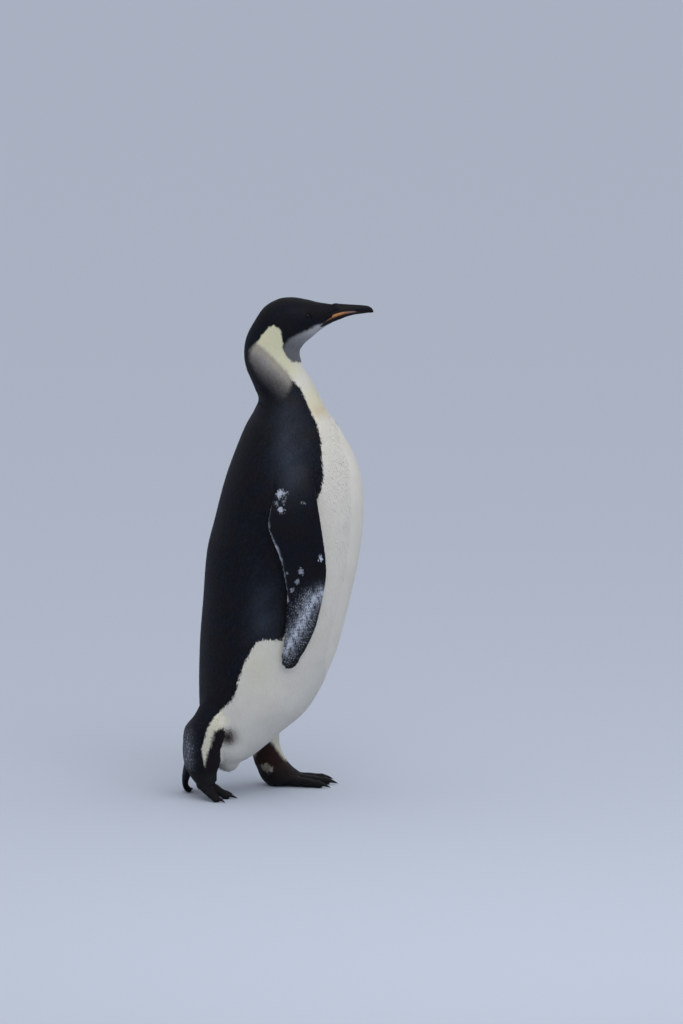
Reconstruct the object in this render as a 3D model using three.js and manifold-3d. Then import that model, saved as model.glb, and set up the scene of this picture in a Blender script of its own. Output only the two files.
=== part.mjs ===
// Emperor penguin, an immature bird in mid-stride: a still, life-size model for a display.
//
// Millimetres, +Z up. The bird faces +X and its left side is +Y. The stations below are
// measured from a plumb line through the body, with z = 0 on the floor; the exported group
// is then shifted so that its origin is the middle of the bird's footprint on that floor.
//
// Each fleshy piece is a loft: a row of stations, each an oval ring set between a rear and
// a front point of the side outline, with its half width. A smooth curve runs through them.
import * as THREE from "three";
import { mergeVertices } from "three/addons/utils/BufferGeometryUtils.js";
import Module from "manifold-3d";

const wasm = await Module();
wasm.setup();

// ---------------------------------------------------------------- driving dimensions

const RIGHT = -1; // the sign of y on each side
const LEFT = 1;
const GAP = 0.4; // clear space between two pieces that meet
const RING_SIDES = 26; // facets round the body
const RING_STEPS = 2; // rings between two stations of the body
const LIMB_SIDES = 14; // the same for legs, tail and flippers
const LIMB_STEPS = 2;
const DOME_STEPS = 2; // rings in the dome at the end of a loft
const SAME_POINT = 1e-4; // corners closer than this are one

const BODY_SQUARENESS = 2.15; // 2 is a true oval, more is boxier
const LIMB_SQUARENESS = 2.05;
const BACK_FULLNESS = 0.05; // how much wider the rings are towards the back

// The trunk, neck and head, from the fold of the belly up to the feathered root of the bill.
// RUMP_END is the lowest point of the belly fold; "lean" is how far, in radians, the outline has
// already turned in where the dome of the fold begins.
const RUMP_END = { x: -104, z: 45, lean: 0.7 };
const BODY = [
  { back: [-137, 83], front: [-68, 66], half: 76 }, //   0 belly fold, between the legs
  { back: [-149, 112], front: [-38, 84], half: 99 }, //  1 vent
  { back: [-156, 162], front: [12, 126], half: 116 }, // 2 hips
  { back: [-158, 227], front: [70, 181], half: 133 }, // 3 low belly
  { back: [-156, 309], front: [118, 278], half: 143 },
  { back: [-150, 390], front: [146, 380], half: 148 }, // 5 belly
  { back: [-142, 487], front: [169, 491], half: 149 }, // 6 widest
  { back: [-126, 556], front: [176, 583], half: 146 },
  { back: [-102, 646], front: [167, 658], half: 137 }, // 8 shoulders
  { back: [-69, 733], front: [134, 727], half: 115 }, // 9 top of the breast
  { back: [-46, 778], front: [104, 771], half: 90 },
  { back: [-40, 802], front: [90, 797], half: 76 }, //  11 root of the neck
  { back: [-50, 830], front: [74, 829], half: 64 },
  { back: [-63, 863], front: [55, 862], half: 57 }, //  13 middle of the neck
  { back: [-67, 893], front: [48, 884], half: 53 },
  { back: [-62, 924], front: [48, 897], half: 50.5 }, // 15 nape and throat
  { back: [-47, 954], front: [53, 906], half: 49 },
  { back: [-26, 984], front: [59, 913], half: 48 }, //  17 back of the crown, chin
  { back: [2, 1000.5], front: [67, 920], half: 46.5 },
  { back: [30, 1004], front: [75, 927], half: 43.5 }, // 19 crown
  { back: [58, 1000], front: [83, 934], half: 36.5 }, // 20 brow and eyes
  { back: [80, 995], front: [91, 940], half: 27.5 },
  { back: [98, 992], front: [101, 947], half: 18.5 }, // 22 lores
  { back: [112, 990], front: [111, 953], half: 12 }, //  23 feathered root of the bill
];
const TRUNK_TOP = 11; // station where the trunk ends and the neck begins
const NECK_TOP = 15.5; // station where the neck ends and the head begins
const THROAT_FAN = 2.5; // the rings fan out at the throat, so the split there is this much wider

// Legs: the right one pushes off behind, heel lifted; the left one is flat on the floor in front.
// "out" is the distance of a station from the middle plane of the bird.
const FOOT_OUT = 78;
const RIGHT_LEG = [
  { back: [-126, 262], front: [-40, 232], half: 42, out: 46 }, // 0 thigh, deep inside the trunk
  { back: [-148, 205], front: [-50, 168], half: 50, out: 60 },
  { back: [-164, 172], front: [-70, 141], half: 50, out: 70 },
  { back: [-184, 145], front: [-88, 122], half: 43, out: 76 },
  { back: [-189, 114], front: [-104, 102], half: 37, out: FOOT_OUT }, // 4 heel
  { back: [-187, 82], front: [-112, 78], half: 32, out: FOOT_OUT },
  { back: [-178, 54], front: [-119, 57], half: 30, out: FOOT_OUT }, //  6 ankle
  { back: [-165, 34], front: [-120, 46], half: 30, out: FOOT_OUT },
  { back: [-151, 23], front: [-120, 37], half: 31, out: FOOT_OUT }, //  8 ball of the foot
];
const LEFT_LEG = [
  { back: [-76, 212], front: [14, 212], half: 42, out: 48 }, // 0 thigh, deep inside the trunk
  { back: [-72, 152], front: [3, 150], half: 50, out: 64 },
  { back: [-64, 106], front: [5, 104], half: 46, out: 75 },
  { back: [-55, 78], front: [6, 84], half: 38, out: FOOT_OUT },
  { back: [-48, 56], front: [12, 62], half: 34, out: FOOT_OUT }, //   4 ankle
  { back: [-41, 34], front: [23, 45], half: 33, out: FOOT_OUT },
  { back: [-31, 12], front: [35, 33], half: 35, out: FOOT_OUT }, //   6 heel pad
  { back: [-14, -4], front: [50, 22], half: 37, out: FOOT_OUT },
];
const RIGHT_ANKLE = 5.4; // station where feathers end and the scaly foot begins
const LEFT_ANKLE = 4.2;

// Toes: root and tip of each middle line as [x, out, z]. "out" is away from the other foot.
const TOE = { rootRadius: 14, tipRadius: 9, flatness: 0.82, steps: 2, sides: 8 };
const RIGHT_TOES = [
  { name: "outer", root: [-148, 15, 31], tip: [-122, 36, 6.4] },
  { name: "middle", root: [-145, 0, 32], tip: [-103, 2, 6.4] },
  { name: "inner", root: [-147, -15, 32], tip: [-110, -30, 6.4] },
];
const LEFT_TOES = [
  { name: "outer", root: [16, 17, 13], tip: [90, 44, 6.4] },
  { name: "middle", root: [20, 0, 14], tip: [98, 2, 6.4] },
  { name: "inner", root: [16, -17, 13], tip: [84, -36, 6.4] },
];
const WEB = { reach: 0.98, thickness: 6, sag: 0.26, steps: 4 }; // share of the toe that the web follows
// Claws: "drop" is how far the tip hangs and "lift" how high the root sits, both in millimetres;
// "taper" is the power by which it thins, "width" its width over its depth, and "end" the share
// of its length at which the last ring stands.
const CLAW = { length: 24, radius: 5.4, drop: 6.5, lift: 1.2, taper: 0.7, width: 0.8, end: 0.86 };
const CLAW_STEPS = 3;
const CLAW_SIDES = 8;
// The small hind toe, on the inner side: where its root is, as stations below the ankle and as shares
// of the shank's depth and half width, then its size, and the size of its claw beside the others.
const HALLUX = { below: 0.9, deep: 0.45, wide: 0.8, rootRadius: 6, radius: 4.5, length: 15, sink: 4 };
const HIND_CLAW = { length: 0.5, radius: 0.7 };

// Tail: a stiff wedge of feathers that bends a little where its tip meets the floor.
const TAIL = [
  { back: [-148, 168], front: [-108, 130], half: 38 }, // 0 inside the rump
  { back: [-167, 118], front: [-130, 98], half: 41 },
  { back: [-181, 78], front: [-155, 66], half: 37 },
  { back: [-189, 42], front: [-171, 36], half: 31 },
  { back: [-190, 17], front: [-178, 18], half: 25 },
  { back: [-183, -3], front: [-174, 6], half: 19 }, //    5 bend where it lies on the floor
];
const TAIL_TIP = { x: -162, z: -3 };

// Flippers: leading and trailing edge as [x, distance out, z], and half the thickness.
const FLIPPER = [
  { lead: [62, 98, 704], trail: [-8, 102, 694], thick: 18 }, // 0 inside the shoulder
  { lead: [74, 130, 660], trail: [0, 138, 650], thick: 17 },
  { lead: [81, 149, 616], trail: [-12, 157, 606], thick: 14 },
  { lead: [87, 155, 580], trail: [-18, 166, 571], thick: 11.5 }, // 3 elbow
  { lead: [93, 155, 540], trail: [-9, 168, 540], thick: 10 },
  { lead: [98, 152, 500], trail: [5, 167, 504], thick: 9 }, //      5 wrist
  { lead: [99, 149, 462], trail: [14, 166, 466], thick: 8 },
  { lead: [92, 146, 420], trail: [19, 164, 424], thick: 7 },
  { lead: [80, 143, 366], trail: [17, 160, 370], thick: 6 },
  { lead: [62, 141, 322], trail: [12, 156, 328], thick: 5 },
  { lead: [47, 142, 297], trail: [8, 152, 303], thick: 4.2 }, // 10 last station before the round tip
];
const FLIPPER_TIP = { x: 22, y: 146, z: 275 };
const LEAD_FULLNESS = 0.3; // how much thicker the flipper is at its leading edge

// Head details.
const EYE = { x: 61, y: 30.4, z: 971, radius: 8.2, sides: 12, rings: 8 };
// Bill: along x, the heights of the ridge, the mouth line and the underside, and the half width.
const BILL = [
  { x: 86, ridge: 960, mouth: 956, keel: 941, half: 23.5 }, // 0 gape
  { x: 99, ridge: 972, mouth: 965, keel: 948, half: 17.5 },
  { x: 113, ridge: 990.5, mouth: 971.5, keel: 954, half: 12.2 }, // 2 edge of the feathers
  { x: 127, ridge: 989.8, mouth: 975.5, keel: 960, half: 9.4 },
  { x: 142, ridge: 988.6, mouth: 977.5, keel: 965.8, half: 7.6 },
  { x: 157, ridge: 987.8, mouth: 977.8, keel: 969.4, half: 6.2 },
  { x: 171, ridge: 986.6, mouth: 976.8, keel: 971.2, half: 4.8 },
  { x: 182, ridge: 984.6, mouth: 976, keel: 972.6, half: 3.3 }, // 7 where the hook begins
  { x: 188.5, ridge: 981.2, mouth: 975, keel: 972.8, half: 2.2 },
];
const BILL_OPEN = 2; // station where the upper half leaves the feathers
const BILL_SIDES = 14;
// Each half of the bill: its tip, and how boxy and how much wider at the ridge its rings are.
const UPPER_BILL = { tip: { x: 193, z: 974.6 }, squareness: 2.4, fullness: -0.3 };
const LOWER_BILL = { tip: { x: 190, z: 973.8 }, squareness: 2.6, fullness: -0.25 };

const FLOOR_BOX = 2000; // a block larger than the bird, for cutting it off level at the floor

// ---------------------------------------------------------------- lofting

// Catmull-Rom through a row of equally spaced values.
function along(values, u) {
  const last = values.length - 1;
  const i = Math.min(Math.max(Math.floor(u), 0), last - 1);
  const t = u - i;
  const before = values[Math.max(i - 1, 0)];
  const a = values[i];
  const b = values[i + 1];
  const after = values[Math.min(i + 2, last)];
  const slopeA = (b - before) / 2;
  const slopeB = (after - a) / 2;
  const t2 = t * t;
  const t3 = t2 * t;
  const share = 3 * t2 - 2 * t3;
  return a * (1 - share) + b * share + slopeA * (t3 - 2 * t2 + t) + slopeB * (t3 - t2);
}

// Rear and front points and half width at any place along a row of stations.
function stationAt(row, u, side = LEFT) {
  const pick = (get) => along(row.map(get), u);
  const y = side * pick((s) => s.out ?? 0);
  return {
    back: new THREE.Vector3(pick((s) => s.back[0]), y, pick((s) => s.back[1])),
    front: new THREE.Vector3(pick((s) => s.front[0]), y, pick((s) => s.front[1])),
    half: pick((s) => s.half),
  };
}

const rounded = (value, power) => Math.sign(value) * Math.abs(value) ** (2 / power);

// A ring of points: an oval with one half axis along "reach", the other along "side".
function oval(centre, reach, side, sides, squareness, fullness) {
  return Array.from({ length: sides }, (_, i) => {
    const angle = (2 * Math.PI * i) / sides;
    const c = rounded(Math.cos(angle), squareness);
    const s = rounded(Math.sin(angle), squareness) * (1 + fullness * Math.cos(angle));
    return centre.clone().addScaledVector(reach, c).addScaledVector(side, s);
  });
}

function ringOf(station, sides, squareness, fullness, grow) {
  const centre = station.back.clone().add(station.front).multiplyScalar(0.5);
  const reach = station.back.clone().sub(station.front).multiplyScalar(0.5);
  reach.setLength(reach.length() + grow);
  const side = new THREE.Vector3(0, station.half + grow, 0);
  return oval(centre, reach, side, sides, squareness, fullness);
}

// Rings shrinking to a point, which round off the end of a loft like a dome. "lean" is the angle at
// which it starts.
function dome(ring, pole, lean = 0) {
  const middle = centreOf(ring);
  return Array.from({ length: DOME_STEPS }, (_, i) => {
    const angle = lean + ((Math.PI / 2 - lean) * (i + 1)) / (DOME_STEPS + 1);
    const shrink = Math.cos(angle) / Math.cos(lean);
    const rise = (Math.sin(angle) - Math.sin(lean)) / (1 - Math.sin(lean));
    const centre = middle.clone().lerp(pole, rise);
    return ring.map((p) => p.clone().sub(middle).multiplyScalar(shrink).add(centre));
  });
}

function centreOf(ring) {
  return ring.reduce((sum, p) => sum.add(p), new THREE.Vector3()).divideScalar(ring.length);
}

function solidOf(positions, faces) {
  return new wasm.Manifold(new wasm.Mesh({ numProp: 3, vertProperties: positions, triVerts: faces }));
}

// A closed solid through rings of equal count, with a point or a flat fan at each end.
function skinOver(rings, startPole = centreOf(rings[0]), endPole = centreOf(rings.at(-1))) {
  const sides = rings[0].length;
  const points = [...rings.flat(), startPole, endPole];
  const start = rings.length * sides;
  const faces = [];
  const at = (r, i) => r * sides + (i % sides);
  for (let i = 0; i < sides; i++) {
    for (let r = 0; r + 1 < rings.length; r++) {
      faces.push(at(r, i), at(r, i + 1), at(r + 1, i), at(r, i + 1), at(r + 1, i + 1), at(r + 1, i));
    }
    faces.push(start, at(0, i + 1), at(0, i));
    faces.push(start + 1, at(rings.length - 1, i), at(rings.length - 1, i + 1));
  }
  const positions = new Float32Array(points.flatMap((p) => p.toArray()));
  const corners = new Uint32Array(faces);
  const solid = solidOf(positions, corners);
  return solid.volume() < 0 ? solidOf(positions, corners.reverse()) : solid;
}

// Evenly spaced places from one station number to another.
function places(from, to, stepsEach) {
  const count = Math.max(1, Math.ceil((to - from) * stepsEach));
  return Array.from({ length: count + 1 }, (_, i) => from + ((to - from) * i) / count);
}

function bodyPiece(from, to, grow = 0) {
  const rings = places(from, to, RING_STEPS).map((u) =>
    ringOf(stationAt(BODY, u), RING_SIDES, BODY_SQUARENESS, BACK_FULLNESS, grow),
  );
  if (from > 0) return skinOver(rings);
  const pole = new THREE.Vector3(RUMP_END.x, 0, RUMP_END.z - grow);
  return skinOver([...dome(rings[0], pole, RUMP_END.lean).reverse(), ...rings], pole);
}

// The whole of trunk, neck and head with the gap round it, for cutting the limbs back.
const bodyRoom = bodyPiece(0, BODY.length - 1, GAP);

function limbPiece(row, side, from, to, grow = 0, endPole = undefined) {
  const rings = places(from, to, LIMB_STEPS).map((u) =>
    ringOf(stationAt(row, u, side), LIMB_SIDES, LIMB_SQUARENESS, 0, grow),
  );
  return skinOver(rings, undefined, endPole);
}

// The share of a station that keeps GAP clear between two pieces split there.
function splitAt(row, station) {
  const middle = (u) => {
    const s = stationAt(row, u);
    return s.back.add(s.front).multiplyScalar(0.5);
  };
  const step = 0.01;
  const perStation = middle(station + step).distanceTo(middle(station - step)) / (2 * step);
  return GAP / 2 / perStation;
}

// ---------------------------------------------------------------- trunk, neck and head

const neckSplit = splitAt(BODY, TRUNK_TOP);
const headSplit = splitAt(BODY, NECK_TOP) * THROAT_FAN;

const trunk = () => bodyPiece(0, TRUNK_TOP - neckSplit);
const neck = () => bodyPiece(TRUNK_TOP + neckSplit, NECK_TOP - headSplit);

function eyeball(side, grow = 0) {
  const sphere = new THREE.SphereGeometry(EYE.radius + grow, EYE.sides, EYE.rings);
  return solidFrom(sphere.translate(EYE.x, side * EYE.y, EYE.z));
}

function head() {
  const whole = bodyPiece(NECK_TOP + headSplit, BODY.length - 1);
  return [eyeball(LEFT, GAP), eyeball(RIGHT, GAP), lowerBill(GAP), upperBill(GAP)].reduce(
    (rest, cutter) => rest.subtract(cutter),
    whole,
  );
}

// One half of the bill through rings at these stations, each between two heights.
function billHalf(stations, heights, { tip, squareness, fullness }, grow) {
  const rings = stations.map((s) => {
    const [high, low] = heights(s);
    const middle = new THREE.Vector3(s.x, 0, (high + low) / 2);
    const reach = new THREE.Vector3(0, 0, (high - low) / 2 + grow);
    const side = new THREE.Vector3(0, s.half + grow, 0);
    return oval(middle, reach, side, BILL_SIDES, squareness, fullness);
  });
  return skinOver(rings, undefined, new THREE.Vector3(tip.x, 0, tip.z));
}

function lowerBill(grow = 0) {
  return billHalf(BILL, (s) => [s.mouth - GAP / 2, s.keel], LOWER_BILL, grow);
}

function upperBill(grow = 0) {
  return billHalf(BILL.slice(BILL_OPEN), (s) => [s.ridge, s.mouth + GAP / 2], UPPER_BILL, grow);
}

// ---------------------------------------------------------------- flippers

function flipper(side) {
  const ring = (u) => {
    const pick = (get) => along(FLIPPER.map(get), u);
    const lead = new THREE.Vector3(...[0, 1, 2].map((k) => pick((s) => s.lead[k])));
    const trail = new THREE.Vector3(...[0, 1, 2].map((k) => pick((s) => s.trail[k])));
    const centre = lead.clone().add(trail).multiplyScalar(0.5);
    const chord = lead.clone().sub(trail).multiplyScalar(0.5);
    const outward = new THREE.Vector3(-chord.y, chord.x, 0).setLength(pick((s) => s.thick));
    return oval(centre, chord, outward, LIMB_SIDES, 2, LEAD_FULLNESS);
  };
  const rings = places(0, FLIPPER.length - 1, LIMB_STEPS).map(ring);
  const pole = new THREE.Vector3(FLIPPER_TIP.x, FLIPPER_TIP.y, FLIPPER_TIP.z);
  const onSide = (p) => p.clone().setY(side * p.y);
  const wing = [...rings, ...dome(rings.at(-1), pole)].map((r) => r.map(onSide));
  return largest(skinOver(wing, undefined, onSide(pole)).subtract(bodyRoom));
}

// ---------------------------------------------------------------- legs, feet and claws

function leg(row, side, ankle) {
  const whole = limbPiece(row, side, 0, ankle - splitAt(row, ankle));
  return largest(whole.subtract(bodyRoom));
}

const toePoint = ([x, out, z], side) => new THREE.Vector3(x, side * (FOOT_OUT + out), z);

// A tapering round bar between two points, with domed ends.
function bar(a, b, radiusA, radiusB, flatness) {
  const forward = b.clone().sub(a).normalize();
  const side = new THREE.Vector3(0, 0, 1).cross(forward).normalize();
  const up = forward.clone().cross(side);
  const ring = (t) => {
    const radius = THREE.MathUtils.lerp(radiusA, radiusB, t);
    return oval(
      a.clone().lerp(b, t),
      up.clone().multiplyScalar(radius * flatness),
      side.clone().multiplyScalar(radius),
      TOE.sides,
      2,
      0,
    );
  };
  const rings = places(0, 1, TOE.steps).map(ring);
  const startPole = a.clone().addScaledVector(forward, -radiusA);
  const endPole = b.clone().addScaledVector(forward, radiusB);
  return skinOver(
    [...dome(rings[0], startPole).reverse(), ...rings, ...dome(rings.at(-1), endPole)],
    startPole,
    endPole,
  );
}

// The web between two toes: a thin sheet whose free edge hangs back in a curve.
function web(toeA, toeB, side) {
  const points = [];
  for (const s of places(0, 1, WEB.steps)) {
    const reach = WEB.reach * (1 - WEB.sag * 4 * s * (1 - s));
    const near = toePoint(toeA.root, side).lerp(toePoint(toeB.root, side), s);
    const far = toePoint(toeA.tip, side).lerp(toePoint(toeB.tip, side), s);
    points.push([near, near.clone().lerp(far, reach)]);
  }
  const ring = ([near, far]) => {
    const lift = new THREE.Vector3(0, 0, WEB.thickness / 2);
    return [near.clone().add(lift), far.clone().add(lift), far.clone().sub(lift), near.clone().sub(lift)];
  };
  return skinOver(points.map(ring));
}

function hallux(row, ankle, side) {
  const s = stationAt(row, ankle + HALLUX.below, side);
  const root = s.back.clone().lerp(s.front, HALLUX.deep);
  root.y -= side * s.half * HALLUX.wide;
  const tip = root.clone().add(new THREE.Vector3(-HALLUX.sink, -side * HALLUX.length, -HALLUX.sink));
  return { root, tip };
}

function clawSolid(root, heading, length, radius, grow = 0) {
  const side = new THREE.Vector3(0, 0, 1).cross(heading).normalize();
  const drop = (CLAW.drop * length) / CLAW.length;
  const rings = places(0, CLAW.end, CLAW_STEPS).map((t) => {
    const centre = root.clone().addScaledVector(heading, length * t);
    centre.z -= drop * t * t;
    const r = radius * (1 - t) ** CLAW.taper + grow;
    const across = side.clone().multiplyScalar(r * CLAW.width);
    return oval(centre, new THREE.Vector3(0, 0, r), across, CLAW_SIDES, 2, 0);
  });
  const tip = root.clone().addScaledVector(heading, length + grow);
  tip.z -= drop;
  return skinOver(rings, undefined, tip);
}

// Root and heading of the claw on one toe. It leaves the toe a little above the floor.
function clawOn(toe, side) {
  const root = toePoint(toe.root, side);
  const tip = toePoint(toe.tip, side);
  const heading = tip.clone().sub(root).setZ(0).normalize();
  return { root: tip.clone().add(new THREE.Vector3(0, 0, CLAW.lift)), heading };
}

function foot(row, toes, side, ankle) {
  const shank = limbPiece(row, side, ankle + splitAt(row, ankle), row.length - 1);
  const bars = toes.map((t) =>
    bar(toePoint(t.root, side), toePoint(t.tip, side), TOE.rootRadius, TOE.tipRadius, TOE.flatness),
  );
  const webs = [0, 1].map((i) => web(toes[i], toes[i + 1], side));
  const hind = hallux(row, ankle, side);
  const hindToe = bar(hind.root, hind.tip, HALLUX.rootRadius, HALLUX.radius, 1);
  const whole = [...bars, ...webs, hindToe].reduce((sum, piece) => sum.add(piece), shank);
  const cutters = claws(row, toes, side, ankle, GAP);
  return largest(aboveFloor(cutters.reduce((rest, claw) => rest.subtract(claw.solid), whole)));
}

function claws(row, toes, side, ankle, grow = 0) {
  const front = toes.map((t) => {
    const { root, heading } = clawOn(t, side);
    return { name: t.name, solid: clawSolid(root, heading, CLAW.length, CLAW.radius, grow) };
  });
  const hind = hallux(row, ankle, side);
  const heading = hind.tip.clone().sub(hind.root).normalize();
  const [length, radius] = [CLAW.length * HIND_CLAW.length, CLAW.radius * HIND_CLAW.radius];
  return [...front, { name: "hind", solid: clawSolid(hind.tip, heading, length, radius, grow) }];
}

// ---------------------------------------------------------------- tail

function tail() {
  const tip = new THREE.Vector3(TAIL_TIP.x, 0, TAIL_TIP.z);
  const whole = limbPiece(TAIL, LEFT, 0, TAIL.length - 1, 0, tip).subtract(bodyRoom);
  const rightLeg = limbPiece(RIGHT_LEG, RIGHT, 0, RIGHT_LEG.length - 1, GAP);
  return largest(aboveFloor(whole.subtract(rightLeg)));
}

// ---------------------------------------------------------------- helpers for solids

function solidFrom(geometry) {
  geometry.deleteAttribute("normal");
  geometry.deleteAttribute("uv");
  const merged = mergeVertices(geometry, SAME_POINT);
  return solidOf(merged.attributes.position.array, new Uint32Array(merged.index.array));
}

// Cuts off whatever reaches below z = 0, which leaves small flats there.
function aboveFloor(solid) {
  const block = new THREE.BoxGeometry(FLOOR_BOX, FLOOR_BOX, FLOOR_BOX).translate(0, 0, -FLOOR_BOX / 2);
  return solid.subtract(solidFrom(block));
}

function largest(solid) {
  const bigger = (best, piece) => (piece.volume() > best.volume() ? piece : best);
  return solid.decompose().reduce(bigger);
}

function meshOf(name, solid, material) {
  const data = solid.getMesh();
  const points = new Float32Array(data.numVert * 3);
  for (let i = 0; i < data.numVert; i++) {
    points.set(data.vertProperties.subarray(i * data.numProp, i * data.numProp + 3), i * 3);
  }
  const geometry = new THREE.BufferGeometry();
  geometry.setAttribute("position", new THREE.BufferAttribute(points, 3));
  geometry.setIndex(new THREE.BufferAttribute(data.triVerts, 1));
  geometry.computeVertexNormals();
  const mesh = new THREE.Mesh(geometry, material.clone());
  mesh.name = name;
  return mesh;
}

// ---------------------------------------------------------------- materials and assembly

const paint = (color, roughness) => new THREE.MeshStandardMaterial({ color, roughness, metalness: 0 });
const MATERIALS = {
  white: paint(0xd9d6c8, 0.8), // belly feathers
  black: paint(0x1b1f28, 0.7), // back, tail and flipper feathers
  dark: paint(0x201c20, 0.7), // head feathers
  neck: paint(0x8d8a84, 0.8), // neck, grey to cream
  leg: paint(0x241c1a, 0.8), // dark leg feathers
  scale: paint(0x15161a, 0.6), // scaly feet
  horn: paint(0x14151c, 0.4), // bill and claws
  plate: paint(0xb5714a, 0.4), // coloured plate of the lower bill
  eye: paint(0x160f0c, 0.05),
};

const SIDES = [
  { name: "right", side: RIGHT, row: RIGHT_LEG, toes: RIGHT_TOES, ankle: RIGHT_ANKLE },
  { name: "left", side: LEFT, row: LEFT_LEG, toes: LEFT_TOES, ankle: LEFT_ANKLE },
];

function penguin() {
  const group = new THREE.Group();
  const put = (name, solid, material) => group.add(meshOf(name, solid, material));
  put("trunk", trunk(), MATERIALS.white);
  put("neck", neck(), MATERIALS.neck);
  put("head", head(), MATERIALS.dark);
  put("bill_upper", upperBill(), MATERIALS.horn);
  put("bill_lower", lowerBill(), MATERIALS.plate);
  put("tail", tail(), MATERIALS.black);
  for (const { name, side, row, toes, ankle } of SIDES) {
    put(`eye_${name}`, eyeball(side), MATERIALS.eye);
    put(`flipper_${name}`, flipper(side), MATERIALS.black);
    put(`leg_${name}`, leg(row, side, ankle), MATERIALS.leg);
    put(`foot_${name}`, foot(row, toes, side, ankle), MATERIALS.scale);
    for (const claw of claws(row, toes, side, ankle)) {
      put(`claw_${claw.name}_${name}`, aboveFloor(claw.solid), MATERIALS.horn);
    }
  }
  return group;
}

// Shifts the bird so that the origin is at the middle of its outline on the floor.
function centred(group) {
  const box = new THREE.Box3().setFromObject(group);
  const middle = box.getCenter(new THREE.Vector3());
  group.position.set(-middle.x, -middle.y, -box.min.z);
  return group;
}

export default centred(penguin());
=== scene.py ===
import math

import bpy
import numpy as np
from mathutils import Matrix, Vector
from mathutils.bvhtree import BVHTree


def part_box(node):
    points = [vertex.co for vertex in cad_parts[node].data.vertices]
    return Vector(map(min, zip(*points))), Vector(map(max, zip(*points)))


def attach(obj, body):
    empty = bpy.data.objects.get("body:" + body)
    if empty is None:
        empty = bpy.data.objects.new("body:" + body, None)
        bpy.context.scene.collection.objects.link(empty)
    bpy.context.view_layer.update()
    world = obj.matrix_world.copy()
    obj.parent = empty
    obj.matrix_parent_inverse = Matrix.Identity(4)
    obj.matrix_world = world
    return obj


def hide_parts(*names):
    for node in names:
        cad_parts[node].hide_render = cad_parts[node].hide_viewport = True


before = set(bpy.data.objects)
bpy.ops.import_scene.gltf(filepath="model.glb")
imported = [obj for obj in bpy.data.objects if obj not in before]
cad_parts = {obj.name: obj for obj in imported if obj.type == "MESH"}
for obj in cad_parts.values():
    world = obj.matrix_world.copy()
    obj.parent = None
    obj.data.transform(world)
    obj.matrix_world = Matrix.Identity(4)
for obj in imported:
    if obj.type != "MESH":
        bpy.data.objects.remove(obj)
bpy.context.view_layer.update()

MM = 0.001
TAU = 2 * math.pi
RIGHT, LEFT = -1, 1
SIDE_NAMES = {RIGHT: "right", LEFT: "left"}
RNG = np.random.default_rng(11)

# ---------------------------------------------------------------- stations of the body

# Each row is a ring of the loft: rear point (x, z), front point (x, z), half width.
BODY = np.array([
    [-137, 83, -68, 66, 76],  # 0 belly fold, between the legs
    [-149, 112, -38, 84, 99],
    [-156, 162, 12, 126, 116],  # 2 hips
    [-158, 227, 70, 181, 133],
    [-156, 309, 118, 278, 143],
    [-150, 390, 146, 380, 148],  # 5 belly
    [-142, 487, 169, 491, 149],
    [-126, 556, 176, 583, 146],
    [-102, 646, 167, 658, 137],  # 8 shoulders
    [-69, 733, 134, 727, 115],
    [-46, 778, 104, 771, 90],
    [-40, 802, 90, 797, 76],  # 11 root of the neck
    [-50, 830, 74, 829, 64],
    [-63, 863, 55, 862, 57],
    [-67, 893, 48, 884, 53],
    [-62, 924, 48, 897, 50.5],  # 15 nape and throat
    [-47, 954, 53, 906, 49],
    [-26, 984, 59, 913, 48],
    [2, 1000.5, 67, 920, 46.5],
    [30, 1004, 75, 927, 43.5],  # 19 crown
    [58, 1000, 83, 934, 36.5],
    [80, 995, 91, 940, 27.5],
    [98, 992, 101, 947, 18.5],
    [112, 990, 111, 953, 12],  # 23 feathered root of the bill
], float)
BODY_END = len(BODY) - 1
NECK, NAPE, FACE = 11, 15, 19  # stations where the feathers change in size
RUMP_END = np.array([-104.0, 0.0, 45.0])  # lowest point of the belly fold
RUMP_LEAN = 0.7  # how far the belly fold is already turned in where its dome begins, in radians
BODY_SQUARENESS = 2.15
BACK_FULLNESS = 0.05

# Legs: rear point, front point, half width, distance out from the middle plane.
FOOT_OUT = 78
LEGS = {
    RIGHT: np.array([
        [-126, 262, -40, 232, 42, 46],  # 0 thigh, inside the trunk
        [-148, 205, -50, 168, 50, 60],
        [-164, 172, -70, 141, 50, 70],
        [-184, 145, -88, 122, 43, 76],
        [-189, 114, -104, 102, 37, FOOT_OUT],  # 4 heel
        [-187, 82, -112, 78, 32, FOOT_OUT],
        [-178, 54, -119, 57, 30, FOOT_OUT],  # 6 ankle
        [-165, 34, -120, 46, 30, FOOT_OUT],
        [-151, 23, -120, 37, 31, FOOT_OUT],  # 8 ball of the foot
    ], float),
    LEFT: np.array([
        [-76, 212, 14, 212, 42, 48],
        [-72, 152, 3, 150, 50, 64],
        [-64, 106, 5, 104, 46, 75],
        [-55, 78, 6, 84, 38, FOOT_OUT],
        [-48, 56, 12, 62, 34, FOOT_OUT],  # 4 ankle
        [-41, 34, 23, 45, 33, FOOT_OUT],
        [-31, 12, 35, 33, 35, FOOT_OUT],
        [-14, -4, 50, 22, 37, FOOT_OUT],  # 7 heel pad
    ], float),
}
ANKLE = {RIGHT: 5.4, LEFT: 4.2}  # station where the feathers end and the scaly foot begins
LIMB_SQUARENESS = 2.05

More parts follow.
